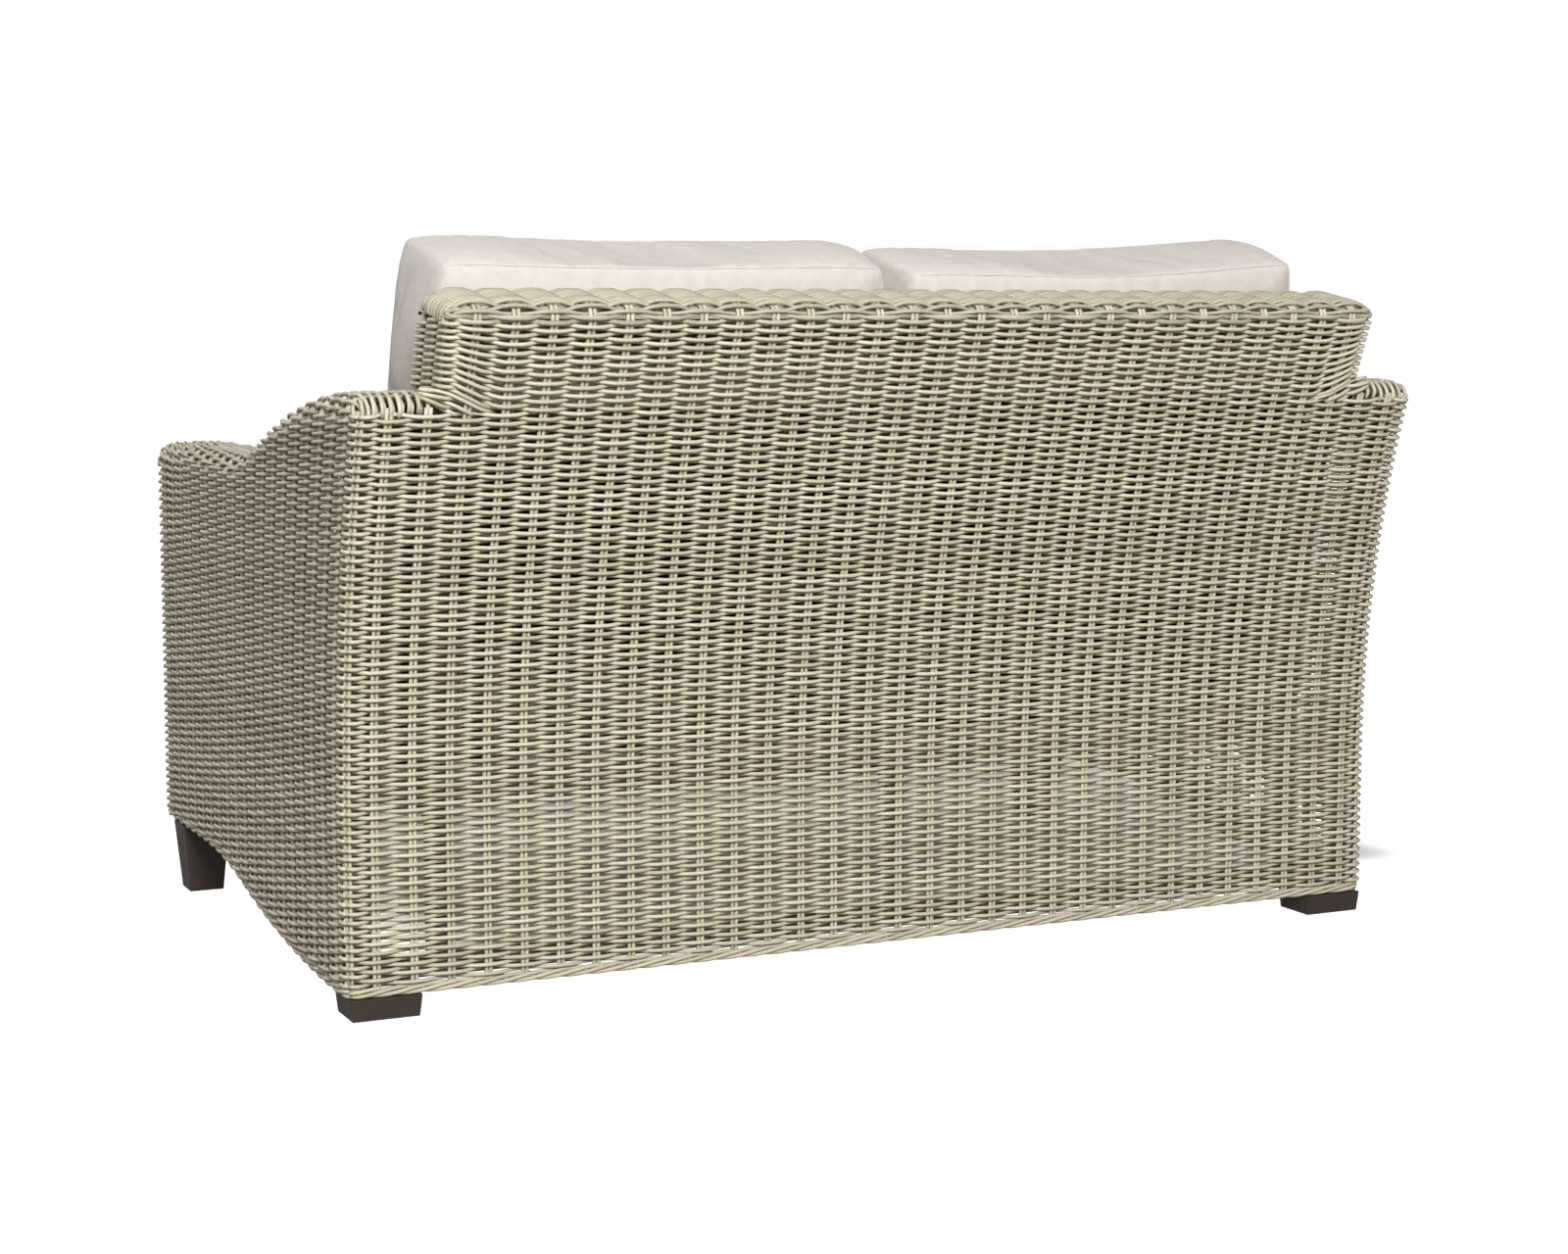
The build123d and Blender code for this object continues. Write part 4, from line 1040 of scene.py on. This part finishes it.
def plump(name, points, quads, pin, cap):
    """Fill a sewn cover: cloth under pressure for twenty frames, each point held within cap of its place.

    The seams move least, so the panels swell between them and pucker towards the corners.
    """
    mesh = bpy.data.meshes.new(name)
    mesh.from_pydata(points.tolist(), [], quads.tolist())
    cover = bpy.data.objects.new(name, mesh)
    bpy.context.scene.collection.objects.link(cover)
    group = cover.vertex_groups.new(name="seams")
    for index in np.flatnonzero(pin > 0):
        group.add([int(index)], float(pin[index]), "REPLACE")
    cloth = cover.modifiers.new("plump", "CLOTH")
    settings = cloth.settings
    settings.quality = 5
    settings.mass = 0.3
    settings.tension_stiffness = 12
    settings.compression_stiffness = 6
    settings.shear_stiffness = 4
    settings.bending_stiffness = 0.35
    settings.use_pressure = True
    settings.uniform_pressure_force = 2.5
    settings.shrink_min = -0.012
    settings.effector_weights.gravity = 0
    settings.vertex_group_mass = "seams"
    settings.pin_stiffness = 0.6
    cloth.collision_settings.use_collision = False
    cloth.point_cache.frame_start = 1
    cloth.point_cache.frame_end = 20
    for moment in range(1, 21):
        bpy.context.scene.frame_set(moment)
    filled = cover.evaluated_get(bpy.context.evaluated_depsgraph_get()).to_mesh()
    moved = np.empty(len(points) * 3, np.float32)
    filled.vertices.foreach_get("co", moved)
    bpy.context.scene.frame_set(1)
    bpy.data.objects.remove(cover)
    way = moved.reshape(-1, 3).astype(float) - points
    length = np.maximum(np.linalg.norm(way, axis=1, keepdims=True), 1e-9)
    return points + way * np.minimum(1, cap * np.tanh(length / cap) / length)


def seam_loops(points, counts):
    """Indices of the points along the two seams, in order round the cushion."""
    nx, ny, nz = counts
    plan = [(i, 0) for i in range(nx)] + [(nx, j) for j in range(ny)]
    plan += [(i, ny) for i in range(nx, 0, -1)] + [(0, j) for j in range(ny, 0, -1)]
    lookup = {tuple(point): index for index, point in enumerate(points.tolist())}
    return [[lookup[(i, j, level)] for i, j in plan] for level in (0, nz)]


def rolled_seam(line, radius, sides=6):
    """Closed round fold along a closed line: rings of the radius in the plane across the line."""
    around = np.roll(line, -1, 0) - np.roll(line, 1, 0)
    tangent = unit(around)
    outward = unit(line - line.mean(0))
    side = unit(np.cross(tangent, outward))
    upright = np.cross(side, tangent)
    angles = np.arange(sides) * 2 * math.pi / sides
    ring = round_ring(angles, upright, side)
    points = (line[:, None] + radius * ring).reshape(-1, 3)
    here = np.arange(len(line))[:, None] * sides + np.arange(sides)[None]
    beside = np.arange(len(line))[:, None] * sides + (np.arange(sides)[None] + 1) % sides
    ahead = (np.arange(len(line)) + 1) % len(line)
    there = ahead[:, None] * sides + np.arange(sides)[None]
    there_beside = ahead[:, None] * sides + (np.arange(sides)[None] + 1) % sides
    return points, np.stack([here, beside, there_beside, there], -1).reshape(-1, 4)


def smooth_loop(line, count):
    """The same closed line with count evenly spaced points, rounded by three neighbour averages."""
    closed = np.concatenate([line, line[:1]])
    length = arc_length(closed)
    even = at_places(closed, length, np.linspace(0, length[-1], count, endpoint=False))
    for _ in range(3):
        even = (np.roll(even, 1, 0) + 2 * even + np.roll(even, -1, 0)) / 4
    return even


def crease(points, start, end, depth, width):
    """How far each point sinks: a bell across the line from start to end that fades out at its tips."""
    start, end = np.array(start), np.array(end)
    along = end - start
    share = (points - start) @ along / (along @ along)
    near = start + np.clip(share, 0, 1)[:, None] * along
    distance = np.linalg.norm(points - near, axis=1)
    fade = np.clip(np.minimum(share, 1 - share) * 5 + 0.4, 0, 1)
    return depth * np.exp(-((distance / width) ** 2)) * fade


def ripples(points, seed):
    """Soft unevenness of the filling: five plane waves of different length and direction."""
    draw = np.random.default_rng(seed)
    total = np.zeros(len(points))
    for length, height in ((0.31, 0.0010), (0.21, 0.0008), (0.14, 0.0006), (0.095, 0.0004), (0.06, 0.0003)):
        way = unit(draw.normal(size=3)) * 2 * math.pi / length
        total += height * np.sin(points @ way + draw.random() * 6.28)
    return total


def vertex_normals(points, quads):
    """Normal at each point: the sum of the cross products of the diagonals of its quads."""
    corner = points[quads]
    face = np.cross(corner[:, 2] - corner[:, 0], corner[:, 3] - corner[:, 1])
    total = np.zeros_like(points)
    np.add.at(total, quads.ravel(), np.repeat(face, 4, 0))
    return unit(total)


def cushion(name, body, kind, side, seed):
    """One filled cushion with its two seams."""
    sign = 1 if side == "left" else -1
    half_x = (CUSHION_X[1] - CUSHION_X[0]) / 2 - 0.004
    middle_x = sum(CUSHION_X) / 2
    if kind == "back":
        half_x -= 0.003
        middle_x -= 0.003
    if kind == "seat":
        half_y = (SEAT_Y[1] - SEAT_Y[0]) / 2 - 0.004
        boxing, crown, turn, taper, pull = SEAT_BOXING - 0.003, SEAT_CROWN - 0.006, 0.0, 0.0, 0.010
        place = (middle_x, sum(SEAT_Y) / 2, DECK_TOP + 0.001)
        rest, cap = rest_seat, 0.013
    else:
        top_z = BACK_HEIGHT + (0.068 if side == "left" else 0.060) - BACK_BOXING * math.sin(BACK_LEAN)
        rise = top_z - DECK_TOP - SEAT_BOXING + 0.070
        touch_y, touch_z = back_touch()
        middle_z = top_z - rise / 2
        middle_y = touch_y + (middle_z - touch_z) * math.tan(BACK_LEAN)
        half_y = rise / math.cos(BACK_LEAN) / 2 - 0.003
        boxing, crown, turn, taper, pull = BACK_BOXING - 0.004, 0.010, math.pi / 2 - BACK_LEAN, 0.045, 0.002
        place = (middle_x, middle_y - 0.002, middle_z)
        rest, cap = rest_back, 0.012
    counts = [max(6, round(2 * size / LATTICE_STEP)) for size in (half_x, half_y, boxing / 2)]
    lattice, quads = box_lattice(counts)
    points = sewn_block(lattice, counts, half_x, half_y, boxing, crown, kind == "seat", taper, pull)
    points = rest(tip_back(points, turn, place))
    loops = seam_loops(lattice, counts)
    pin = np.zeros(len(points))
    for loop in loops:
        pin[loop] = 0.5
    points = rest(plump(name + "_cover", points, quads, pin, cap))
    normals = vertex_normals(points, quads)
    soft = np.ones(len(points))
    for loop in loops:
        soft[loop] = 0.35
    drop = sum(crease(points, *line) for line in CREASES.get((side, kind), ()))
    points = rest(points + normals * (ripples(points, seed) * soft - drop)[:, None])
    points = points + rising_corner(points, side, kind)
    mesh = bpy.data.meshes.new(name)
    mesh.from_pydata(points.tolist(), [], quads.tolist())
    pad = bpy.data.objects.new(name, mesh)
    bpy.context.scene.collection.objects.link(pad)
    pad.modifiers.new("round", "SUBSURF")
    fine = bpy.data.meshes.new_from_object(pad.evaluated_get(bpy.context.evaluated_depsgraph_get()))
    bpy.data.objects.remove(pad)
    count = len(fine.vertices)
    fine_points = np.empty(count * 3, np.float32)
    fine.vertices.foreach_get("co", fine_points)
    fine_points = fine_points.reshape(-1, 3).astype(float)
    fine_quads = np.empty(len(fine.loops), np.int32)
    fine.loops.foreach_get("vertex_index", fine_quads)
    fine_quads = fine_quads.reshape(-1, 4)
    all_points, all_quads = [fine_points], [fine_quads]
    base = count
    for loop in loops:
        seam, faces = rolled_seam(smooth_loop(fine_points[loop], 3 * len(loop)), 0.0014)
        all_points.append(seam)
        all_quads.append(faces + base)
        base += len(seam)
    all_points = np.concatenate(all_points) * np.array([sign, 1, 1])
    all_quads = np.concatenate(all_quads)
    if sign < 0:
        all_quads = all_quads[:, ::-1]
    mesh = bpy.data.meshes.new(name)
    mesh.from_pydata(all_points.tolist(), [], all_quads.tolist())
    mesh.polygons.foreach_set("use_smooth", np.ones(len(all_quads), bool))
    piece = finish_piece(name, mesh, "cushion_fabric", body)
    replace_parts(piece, f"{body}_cover", f"{body}_core")


def rising_corner(points, side, kind):
    """Lift of the right back cushion's outer top corner, which grows outwards and upwards."""
    lift = np.zeros_like(points)
    if kind == "back" and side == "right":
        outwards = np.clip((points[:, 0] - 0.2) / 0.4, 0, 1) ** 2
        upwards = np.clip((points[:, 2] - 0.70) / 0.22, 0, 1)
        lift[:, 2] = CORNER_LIFT * outwards * upwards
    return lift


# Creases, written for the +X side: start, end, depth and width
CREASES = {
    ("left", "back"): (
        ((0.165, 0.300, 0.940), (0.140, 0.345, 0.918), 0.0045, 0.005),
        ((0.33, 0.275, 0.945), (0.30, 0.330, 0.930), 0.0025, 0.009),
        ((0.625, 0.300, 0.90), (0.615, 0.250, 0.80), 0.0035, 0.010),
        ((0.60, 0.170, 0.70), (0.45, 0.110, 0.78), 0.0040, 0.012),
        ((0.04, 0.170, 0.68), (0.16, 0.110, 0.76), 0.0035, 0.012),
    ),
    ("right", "back"): (
        ((0.06, 0.290, 0.940), (0.10, 0.350, 0.915), 0.0030, 0.008),
        ((0.48, 0.290, 0.945), (0.46, 0.340, 0.925), 0.0020, 0.009),
        ((0.59, 0.170, 0.69), (0.47, 0.110, 0.77), 0.0035, 0.012),
    ),
    ("left", "seat"): (((0.60, -0.48, 0.44), (0.50, -0.40, 0.46), 0.004, 0.012),),
    ("right", "seat"): (((0.05, -0.49, 0.44), (0.15, -0.40, 0.46), 0.004, 0.012),),
}


def build_cushions():
    """The four filled cushions, each with an unevenness of its own."""
    for seed, (side, kind) in enumerate(CUSHIONS, FIRST_SEED):
        body = f"{side}_{kind}_cushion"
        cushion(f"{body}_pad", body, kind, side, seed)


# Materials


class Finish:
    """A material that is being made: its nodes are added with their values and links."""

    def __init__(self, name):
        self.material = bpy.data.materials.new(name)
        self.material.use_nodes = True
        self.tree = self.material.node_tree
        self.shader = self.tree.nodes["Principled BSDF"]

    def feed(self, node, values):
        """Set each input of a node, or link it where the value is another node's output."""
        for key, value in values.items():
            if isinstance(value, bpy.types.NodeSocket):
                self.tree.links.new(value, node.inputs[key])
            else:
                node.inputs[key].default_value = value

    def add(self, kind, output, values, **settings):
        """Add a node and return the output that is asked for."""
        node = self.tree.nodes.new("ShaderNode" + kind)
        for key, value in settings.items():
            setattr(node, key, value)
        self.feed(node, values)
        return node.outputs[output]

    def noise(self, place, **values):
        """Noise at this place, by the scale and detail given."""
        return self.add("TexNoise", "Fac", {"Vector": place, **values})

    def ramp(self, share, stops):
        """Colour between stops, each a place and a colour."""
        node = self.tree.nodes.new("ShaderNodeValToRGB")
        elements = node.color_ramp.elements
        while len(elements) < len(stops):
            elements.new(0.5)
        for element, (place, colour) in zip(elements, stops):
            element.position = place
            element.color = (*colour, 1.0)
        self.feed(node, {"Fac": share})
        return node.outputs["Color"]

    def done(self, **values):
        """Feed the shader; an underscore in a name stands for a space."""
        self.feed(self.shader, {key.replace("_", " "): value for key, value in values.items()})
        return self.material


STRAND_COLOURS = ((0.15, (0.405, 0.355, 0.255)), (0.5, (0.535, 0.487, 0.368)), (0.85, (0.65, 0.598, 0.468)))
# Painted shade: the weavers over the backrest's top slope take a copy of the resin darkened to this share, for
# the shade that falls on that slope
TOP_PAINTED_SHADE = 0.80


def resin_strand(name="resin_strand", share=1.0):
    """Extruded resin: greige and streaked along each strand, each strand in a shade of its own. A share below
    1 darkens all its colours, which is painted shade.
    """
    finish = Finish(name)
    along = finish.add("UVMap", "UV", {}, uv_map="along")
    stretch = finish.add("Mapping", "Vector", {"Vector": along, "Scale": (28.0, 9.0, 1.0)})
    streak = finish.noise(stretch, Scale=1.0, Detail=3.0)
    tone = finish.add("Attribute", "Fac", {}, attribute_name="tone")
    mix = finish.add("Mix", 0, {"Factor": 0.45, 2: streak, 3: tone}, data_type="FLOAT")
    # Every colour scaled by share; below 1 this is painted shade
    stops = [(place, tuple(share * value for value in colour)) for place, colour in STRAND_COLOURS]
    grain = finish.add("Mapping", "Vector", {"Vector": along, "Scale": (60.0, 30.0, 1.0)})
    lines = finish.noise(grain, Scale=1.0)
    bump = finish.add("Bump", "Normal", {"Strength": 0.25, "Distance": 0.0004, "Height": lines})
    return finish.done(Base_Color=finish.ramp(mix, stops), Normal=bump, Roughness=0.5, Specular_IOR_Level=0.45)


def coated_metal(name, colour, darker, roughness, grain):
    """Powder coat: a fine orange peel and faint uneven colour."""
    finish = Finish(name)
    place = finish.add("TexCoord", "Object", {})
    peel = finish.noise(place, Scale=grain, Detail=4.0)
    cloud = finish.noise(place, Scale=14.0)
    soft = finish.add("Bevel", "Normal", {"Radius": 0.0015})
    bump = finish.add("Bump", "Normal", {"Strength": 0.15, "Distance": 0.0003, "Height": peel, "Normal": soft})
    ramp = finish.ramp(cloud, [(0.3, darker), (0.7, colour)])
    return finish.done(Base_Color=ramp, Normal=bump, Roughness=roughness)


def canvas():
    """Plain-woven ivory canvas: three crossed thread patterns, a soft sheen and faint slubs."""
    finish = Finish("ivory_canvas")
    place = finish.add("TexCoord", "Object", {})
    threads = []
    for turn in ((0, 0, 0), (0, 0, math.pi / 2), (0, math.pi / 2, 0)):
        spin = finish.add("Mapping", "Vector", {"Vector": place, "Rotation": turn})
        ridges = {"Vector": spin, "Scale": 420.0, "Distortion": 1.2, "Detail": 1.0}
        threads.append(finish.add("TexWave", "Fac", ridges))
    pair = finish.add("Math", 0, {0: threads[0], 1: threads[1]}, operation="ADD")
    height = finish.add("Math", 0, {0: pair, 1: threads[2]}, operation="ADD")
    slub = finish.noise(place, Scale=90.0, Detail=5.0)
    ramp = finish.ramp(slub, [(0.3, (0.60, 0.552, 0.502)), (0.7, (0.65, 0.603, 0.555))])
    bump = finish.add("Bump", "Normal", {"Strength": 0.35, "Distance": 0.0003, "Height": height})
    sheen = {"Sheen_Weight": 0.15, "Sheen_Roughness": 0.5}
    return finish.done(Base_Color=ramp, Normal=bump, Roughness=0.85, Specular_IOR_Level=0.2, **sheen)


MATERIALS = {
    "resin_weave": resin_strand(),
    "resin_weave_top_painted_shade": resin_strand("resin_strand_top_painted_shade", TOP_PAINTED_SHADE),
    "frame_tube": coated_metal("frame_coat", (0.20, 0.17, 0.15), (0.15, 0.13, 0.11), 0.5, 900.0),
    "leg_finish": coated_metal("leg_coat", (0.050, 0.036, 0.029), (0.036, 0.026, 0.021), 0.38, 900.0),
    "bolt_steel": coated_metal("zinc", (0.55, 0.55, 0.56), (0.45, 0.45, 0.46), 0.3, 600.0),
    "glide_nylon": coated_metal("nylon", (0.035, 0.035, 0.035), (0.025, 0.025, 0.025), 0.6, 600.0),
    "cushion_fabric": canvas(),
    "cushion_core": coated_metal("foam", (0.90, 0.89, 0.86), (0.82, 0.80, 0.76), 0.9, 300.0),
}


def dress_cad_nodes():
    """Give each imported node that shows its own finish."""
    for row in frame["record"]["subparts"]:
        mesh = frame["nodes"][row["node"]].data
        mesh.materials.clear()
        mesh.materials.append(MATERIALS[row["material_slot"]])


# Woven pieces


def build_weave():
    """Every woven piece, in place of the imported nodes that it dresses."""
    side = side_rows()
    for name, flip in (("left", list), ("right", mirrored)):
        arm = f"{name}_arm"
        rows = strand_mesh(f"{arm}_outer_weavers", flip(side), WEAVER)
        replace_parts(rows, f"{arm}_outer_weave", f"{arm}_top_weave")
        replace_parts(strand_mesh(f"{arm}_inner_weavers", flip(inner_rows()), WEAVER), f"{arm}_inner_weave")
        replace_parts(strand_mesh(f"{arm}_front_weavers", flip(front_rows()), WEAVER), f"{arm}_front_weave")
        strand_mesh(f"{arm}_stakes", flip(arm_stakes()), STAKE)
        plait = plait_runs(*dense(*border_line(), PLAIT_STEP), *SIDE_PLAIT)
        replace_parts(strand_mesh(f"{name}_side_edge", flip(plait), PLAIT_STRAND), f"{name}_side_border")
    rear = [rear_row(row) for row in range(ROW_COUNT) if row_heights[row] <= REAR_TOP_ROW]
    half = len(rear) // 2
    for name, rows in (("rear_weavers_low", rear[:half]), ("rear_weavers_high", rear[half:])):
        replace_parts(strand_mesh(name, rows, WEAVER), "rear_lower_weave")
    groups = back_rows()
    foot = foot_strands()
    wrapped = strand_mesh("back_wrapped_weavers", groups["wrapped"] + foot + mirrored(foot), WEAVER)
    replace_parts(wrapped, "rear_upper_weave", "left_back_end_weave", "right_back_end_weave")
    # The top weavers wear the darkened copy of the resin: painted shade on the top slope
    top = strand_mesh("back_top_weavers", groups["top"], WEAVER, look="resin_weave_top_painted_shade")
    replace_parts(top, "back_top_weave")
    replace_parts(strand_mesh("back_inner_weavers", groups["inner"], WEAVER), "back_inner_weave")
    strand_mesh("back_stakes", rear_stakes(), STAKE)
    plait = plait_runs(*dense(*rear_border_line(), PLAIT_STEP), *LEVEL_PLAIT)
    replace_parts(strand_mesh("rear_edge", plait, PLAIT_STRAND), "rear_border")
    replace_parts(strand_mesh("apron_weavers", apron_rows(), WEAVER), "front_apron_weave")
    strand_mesh("apron_stakes", apron_stakes(), STAKE)
    plait = plait_runs(*dense(*front_border_line(), PLAIT_STEP), *LEVEL_PLAIT)
    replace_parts(strand_mesh("apron_edge", plait, PLAIT_STRAND), "front_border")
    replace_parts(strand_mesh("deck_weavers", deck_rows(), WEAVER, DECK_SIDES), "seat_deck")
    strand_mesh("deck_stakes", deck_stakes(), STAKE, DECK_SIDES)


# Studio


# Painted light: beyond a rectangle the floor glows white, which washes out the loveseat's shadows there;
# inside the rectangle, which the loveseat hides from the camera, the floor keeps its real shadow
SHADED_MIDDLE = (-0.285, -0.775, 0.0)
SHADED_HALF = (0.705, 0.825, 0.0)
SHADED_FADE = 0.16
DOME_RADIUS = 28
WORLD_LIGHT = 0.24
# Name, place, size in metres and power in watts
LAMPS = (
    ("key", (1.6, 4.9, 2.75), 1.6, 335.0),
    ("side", (4.6, 0.8, 2.6), 1.4, 30.0),
    ("top", (-0.4, -0.4, 4.6), 3.0, 12.0),
    ("front", (1.2, -4.6, 1.6), 2.5, 40.0),
)
LAMP_TARGET = (0, 0, 0.45)


def pale_floor():
    """White floor. Its glow is none inside a rectangle and full beyond the fade, by the distance from it; the
    glow is painted light that whitens the shadows beyond the rectangle.
    """
    finish = Finish("pale_floor")
    place = finish.add("TexCoord", "Object", {})
    for operation, values in (
        ("SUBTRACT", {1: SHADED_MIDDLE}),
        ("ABSOLUTE", {}),
        ("SUBTRACT", {1: SHADED_HALF}),
        ("MAXIMUM", {1: (0.0, 0.0, 0.0)}),
    ):
        place = finish.add("VectorMath", "Vector", {0: place, **values}, operation=operation)
    far = finish.add("VectorMath", "Value", {0: place}, operation="LENGTH")
    ends = {"From Min": 0.0, "From Max": SHADED_FADE, "To Min": 0.0, "To Max": 1.0}
    # Painted light: the floor's glow, which hides the shadows outside the rectangle
    glow = finish.add("MapRange", "Result", {"Value": far, **ends}, interpolation_type="SMOOTHSTEP")
    pale, white = (0.86, 0.86, 0.86, 1), (1.0, 1.0, 1.0, 1)
    return finish.done(Base_Color=pale, Roughness=0.9, Emission_Color=white, Emission_Strength=glow)


def studio():
    """White floor that glows beyond a shaded rectangle, painted light; a white dome that only the camera sees,
    an even pale world and soft lamps.
    """
    floor = plain_sheet("studio_floor", np.array([-30.0, 30.0]), np.array([-30.0, 30.0]))
    floor.data.materials.append(pale_floor())
    turns, climbs = np.linspace(0, 2 * math.pi, 49), np.linspace(-0.05, math.pi / 2, 17)
    turn, climb = np.meshgrid(turns, climbs, indexing="ij")
    ball = np.stack([np.cos(turn) * np.cos(climb), np.sin(turn) * np.cos(climb), np.sin(climb)], -1)
    dome = grid_sheet("studio_dome", DOME_RADIUS * ball)
    black, white = (0.0, 0.0, 0.0, 1), (1.0, 1.0, 1.0, 1)
    glow = {"Emission_Color": white, "Emission_Strength": 1.0}
    dome.data.materials.append(Finish("white_backdrop").done(Base_Color=black, Specular_IOR_Level=0.0, **glow))
    for sheet in (floor, dome):
        sheet.visible_diffuse = False
        sheet.visible_glossy = False
        sheet.visible_shadow = False
    world = bpy.data.worlds.new("studio")
    bpy.context.scene.world = world
    world.use_nodes = True
    sky = world.node_tree.nodes["Background"]
    sky.inputs["Color"].default_value = white
    sky.inputs["Strength"].default_value = WORLD_LIGHT
    for name, place, size, power in LAMPS:
        light = bpy.data.lights.new(name, "AREA")
        light.shape = "DISK"
        light.size = size
        light.energy = power
        lamp = bpy.data.objects.new(name, light)
        bpy.context.scene.collection.objects.link(lamp)
        lamp.location = place
        lamp.rotation_euler = (Vector(LAMP_TARGET) - Vector(place)).to_track_quat("-Z", "Y").to_euler()


def grid_sheet(name, points):
    """Smooth sheet through a grid of points."""
    rows, columns = points.shape[:2]
    index = np.arange(rows * columns).reshape(rows, columns)
    quads = np.stack([index[:-1, :-1], index[:-1, 1:], index[1:, 1:], index[1:, :-1]], -1).reshape(-1, 4)
    mesh = bpy.data.meshes.new(name)
    mesh.from_pydata(points.reshape(-1, 3).tolist(), [], quads.tolist())
    mesh.polygons.foreach_set("use_smooth", np.ones(len(quads), bool))
    sheet = bpy.data.objects.new(name, mesh)
    bpy.context.scene.collection.objects.link(sheet)
    return sheet


def plain_sheet(name, x, y):
    """Level sheet on the ground."""
    grid_x, grid_y = np.meshgrid(x, y, indexing="xy")
    return grid_sheet(name, np.stack([grid_x, grid_y, np.zeros_like(grid_x)], -1)[::-1])


def camera():
    """The photograph's view: its place, turn, pitch and lens fitted to the outline of the woven rows."""
    turn = 0.44186
    pitch = 0.11401
    data = bpy.data.cameras.new("camera")
    data.sensor_width = 36.0
    data.lens = 63.0
    made = bpy.data.objects.new("camera", data)
    bpy.context.scene.collection.objects.link(made)
    made.location = (1.6417, REAR_FACE_Y + 3.1146, 0.8462)
    ahead = Vector((-math.sin(turn) * math.cos(pitch), -math.cos(turn) * math.cos(pitch), -math.sin(pitch)))
    made.rotation_mode = "QUATERNION"
    made.rotation_quaternion = ahead.to_track_quat("-Z", "Y")
    data.clip_end = 60.0
    bpy.context.scene.camera = made


dress_cad_nodes()
build_weave()
build_cushions()
studio()
camera()
bpy.context.scene.view_settings.view_transform = "Standard"
